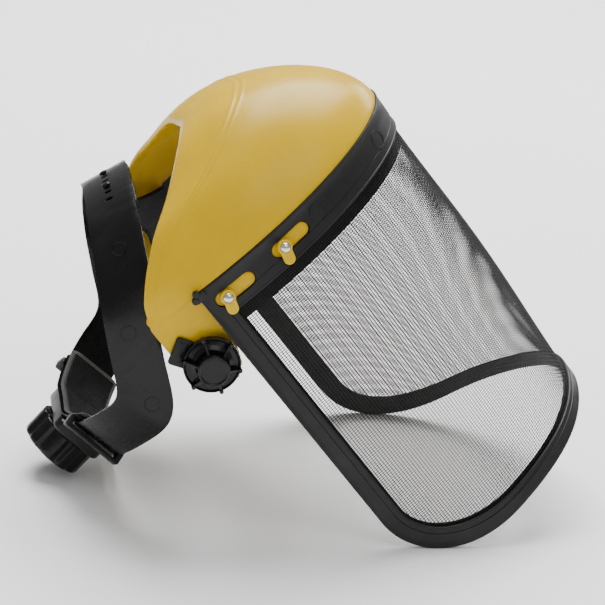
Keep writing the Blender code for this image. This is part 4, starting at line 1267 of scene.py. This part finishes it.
def make_pivot_plate(side_name, side):
    """Stop plate under the tilt knob, with a raised pad at its far end."""
    outline = [(x + 7.5 * MM, y) for x, y in rounded_box(16 * MM, 8.5 * MM, 1.8 * MM)]
    turn = Matrix.Rotation(side * math.radians(122), 4, "Z")
    place = pivot_place(side, PLATE_OUTER - 1.6 * MM) @ turn
    pad = place @ Matrix.Translation((19.4 * MM, 0, 0))
    shape = bmesh.new()
    add_plate(shape, outline, 0, 1.6 * MM, place, 0.35 * MM)
    add_plate(shape, rounded_box(3.4 * MM, 6.2 * MM, 0.6 * MM), 1.2 * MM, 1.85 * MM, pad, 0.25 * MM)
    closed(shape)
    node = f"pivot_plate_{side_name}"
    shape_piece(shape, f"{node}_moulding", "housing", "brow", node, "strap_black", 40)


def ratchet_place():
    """The ratchet's place on the nape strap; Z points away from the head."""
    back = Vector((0, -math.cos(RATCHET_LEAN), -math.sin(RATCHET_LEAN)))
    return frame_at(nape_middle(1, math.pi / 2), back, (1, 0, 0))


FLUTE_REACH = 3.6 * MM
FLUTE_DEPTH = 1.9 * MM


def flute_depth(angle):
    """How far the ratchet knob's grip is cut in at an angle."""
    pitch = 2 * math.pi / KNOB_FLUTES
    away = abs((angle + pitch / 2) % pitch - pitch / 2) * RATCHET_KNOB_RADIUS
    if away >= FLUTE_REACH:
        return 0.0
    share = away / FLUTE_REACH
    return FLUTE_DEPTH * (1 - share * share) ** 1.5


def make_ratchet_knob():
    """Knob with a raised middle and fluted grip, hollow on the side of the cover."""
    radius = RATCHET_KNOB_RADIUS
    back = RATCHET_KNOB_BACK
    profile = rounded_profile([
        (0.01 * MM, back - 2.6 * MM), (7.4 * MM, back - 2.6 * MM),
        (8.2 * MM, back - 1.6 * MM), (10.5 * MM, back - 1.6 * MM), (11.5 * MM, back),
        (radius - 2.2 * MM, back), (radius - 0.5 * MM, back - 0.9 * MM), (radius, back - 3 * MM),
        (radius, 8 * MM), (radius - 0.8 * MM, 7 * MM), (16 * MM, 7 * MM), (16 * MM, 9.4 * MM),
        (3.8 * MM, 9.4 * MM), (3.8 * MM, 12 * MM)], 0.7 * MM, 4)

    def grip(reach, angle):
        share = max(0.0, min(1.0, (reach - (radius - 3.4 * MM)) / (3.0 * MM)))
        return reach - flute_depth(angle) * share

    shape = bmesh.new()
    add_turned(shape, profile, ratchet_place(), 240, grip)
    closed(shape, 0.004 * MM)
    shape_piece(shape, "ratchet_knob_grip", "knob", "ratchet_wheel", "ratchet_knob", "knob_black", 40)


def make_ratchet_cover():
    """Housing with a raised rim, a collar under the knob and a rivet head at each corner."""
    shape = bmesh.new()
    place = ratchet_place()
    outline = rounded_box(27 * MM, 17.5 * MM, 5.5 * MM)
    rows = scaled((2.0, -2.2), (0.0, -2.2), (0.0, -1.9), (0.0, 3.9), (0.25, 4.8), (0.9, 5.7),
                  (1.9, 6.3), (3.0, 6.4), (3.5, 6.0), (4.2, 6.0), (4.7, 6.4))
    rings = []
    for inset, z in rows:
        rings.append([place @ Vector((p[0], p[1], z)) for p in inset_outline(outline, inset)])
    verts = add_grid(shape, rings, close_columns=True)
    shape.faces.new(verts[-1])
    collar = scaled((15.6, 6.2), (15.4, 6.8), (4.6, 6.8), (4.4, 6.2))
    add_turned(shape, rounded_profile(collar, 0.3 * MM), place, 64)
    head = rounded_profile(scaled((0.01, 6.6), (1.9, 6.6), (2.1, 6.1)), 0.2 * MM)
    for x in (-21.5 * MM, 21.5 * MM):
        for y in (-11.5 * MM, 11.5 * MM):
            add_turned(shape, head, place @ Matrix.Translation((x, y, 0)), 24)
    closed(shape)
    shape_piece(shape, "ratchet_cover_moulding", "housing", "headgear", "ratchet_cover", "strap_black", 40)


def paint_kept_nodes():
    """CAD pieces whose shape is right stay, with a better material."""
    kept = {"ratchet_detent": "hub", "ratchet_pinion": "hub",
            "rack_left": "housing", "rack_right": "housing"}
    for side_name in SIDES:
        kept[f"pivot_spacer_{side_name}"] = "housing"
        kept[f"pivot_bolt_{side_name}"] = "steel"
    for node, look in kept.items():
        piece = frame["nodes"][node]
        piece.data.materials.clear()
        piece.data.materials.append(LOOKS[look])


# ---------------------------------------------------------------- camera, floor and light

CAMERA_RIGHT = Vector((0.1552, 0.7960, -0.5843))
CAMERA_UP = Vector((-0.3288, 0.5994, 0.7291))
CAMERA_BACK = Vector((0.9314, 0.0790, 0.3550))
CAMERA_PLACE = Vector((1246.6, 141.4, 395.5)) * MM
CAMERA_LENS = 130.4


def make_camera():
    """The view: from the wearer's right, above and a little in front, slightly rolled."""
    place = Matrix((CAMERA_RIGHT, CAMERA_UP, CAMERA_BACK)).transposed().to_4x4()
    place.translation = CAMERA_PLACE
    camera = bpy.data.cameras.new("camera")
    camera.lens = CAMERA_LENS
    camera.sensor_width = 36
    camera.clip_end = 50
    holder = bpy.data.objects.new("camera", camera)
    bpy.context.scene.collection.objects.link(holder)
    holder.matrix_world = REST @ place
    bpy.context.scene.camera = holder


def make_floor():
    shape = bmesh.new()
    bmesh.ops.create_grid(shape, x_segments=2, y_segments=2, size=8)
    mesh = mesh_of(shape, "floor")
    mesh.materials.append(LOOKS["floor"])
    floor = bpy.data.objects.new("floor", mesh)
    bpy.context.scene.collection.objects.link(floor)


LIGHT_AIM = Vector((0, 0, 0.12))
WORLD_STRENGTH = 0.42


def make_light(name, place, size, power):
    """A rectangular softbox that faces the shield."""
    lamp = bpy.data.lights.new(name, "AREA")
    lamp.shape = "RECTANGLE"
    lamp.size, lamp.size_y = size
    lamp.energy = power
    holder = bpy.data.objects.new(name, lamp)
    bpy.context.scene.collection.objects.link(holder)
    holder.location = place
    holder.rotation_euler = (LIGHT_AIM - Vector(place)).to_track_quat("-Z", "Y").to_euler()


def make_lights():
    make_light("top_softbox", (-1.4, 0.2, 2.8), (2.2, 2.2), 215)
    make_light("key_softbox", (1.7, 0.6, 2.4), (1.7, 1.7), 22)
    make_light("back_softbox", (-1.6, 1.4, 1.2), (1.0, 0.6), 14)
    world = bpy.data.worlds.new("studio")
    world.use_nodes = True
    background = world.node_tree.nodes["Background"]
    background.inputs["Color"].default_value = (1, 1, 1, 1)
    background.inputs["Strength"].default_value = WORLD_STRENGTH
    bpy.context.scene.world = world


make_frame()
make_retainer()
make_screen()
make_brow_guard()
make_rivets_and_tabs()
make_side_strap("right", 1, CROWN_LAYER)
make_side_strap("left", -1, -CROWN_LAYER)
make_crown_pegs()
make_forehead_pieces()
make_nape_pad()
make_nape_plate()
for side_key, side_sign in SIDES.items():
    make_tilt_knob(side_key, side_sign)
    make_pivot_plate(side_key, side_sign)
make_ratchet_knob()
make_ratchet_cover()
paint_kept_nodes()
make_camera()
make_floor()
make_lights()
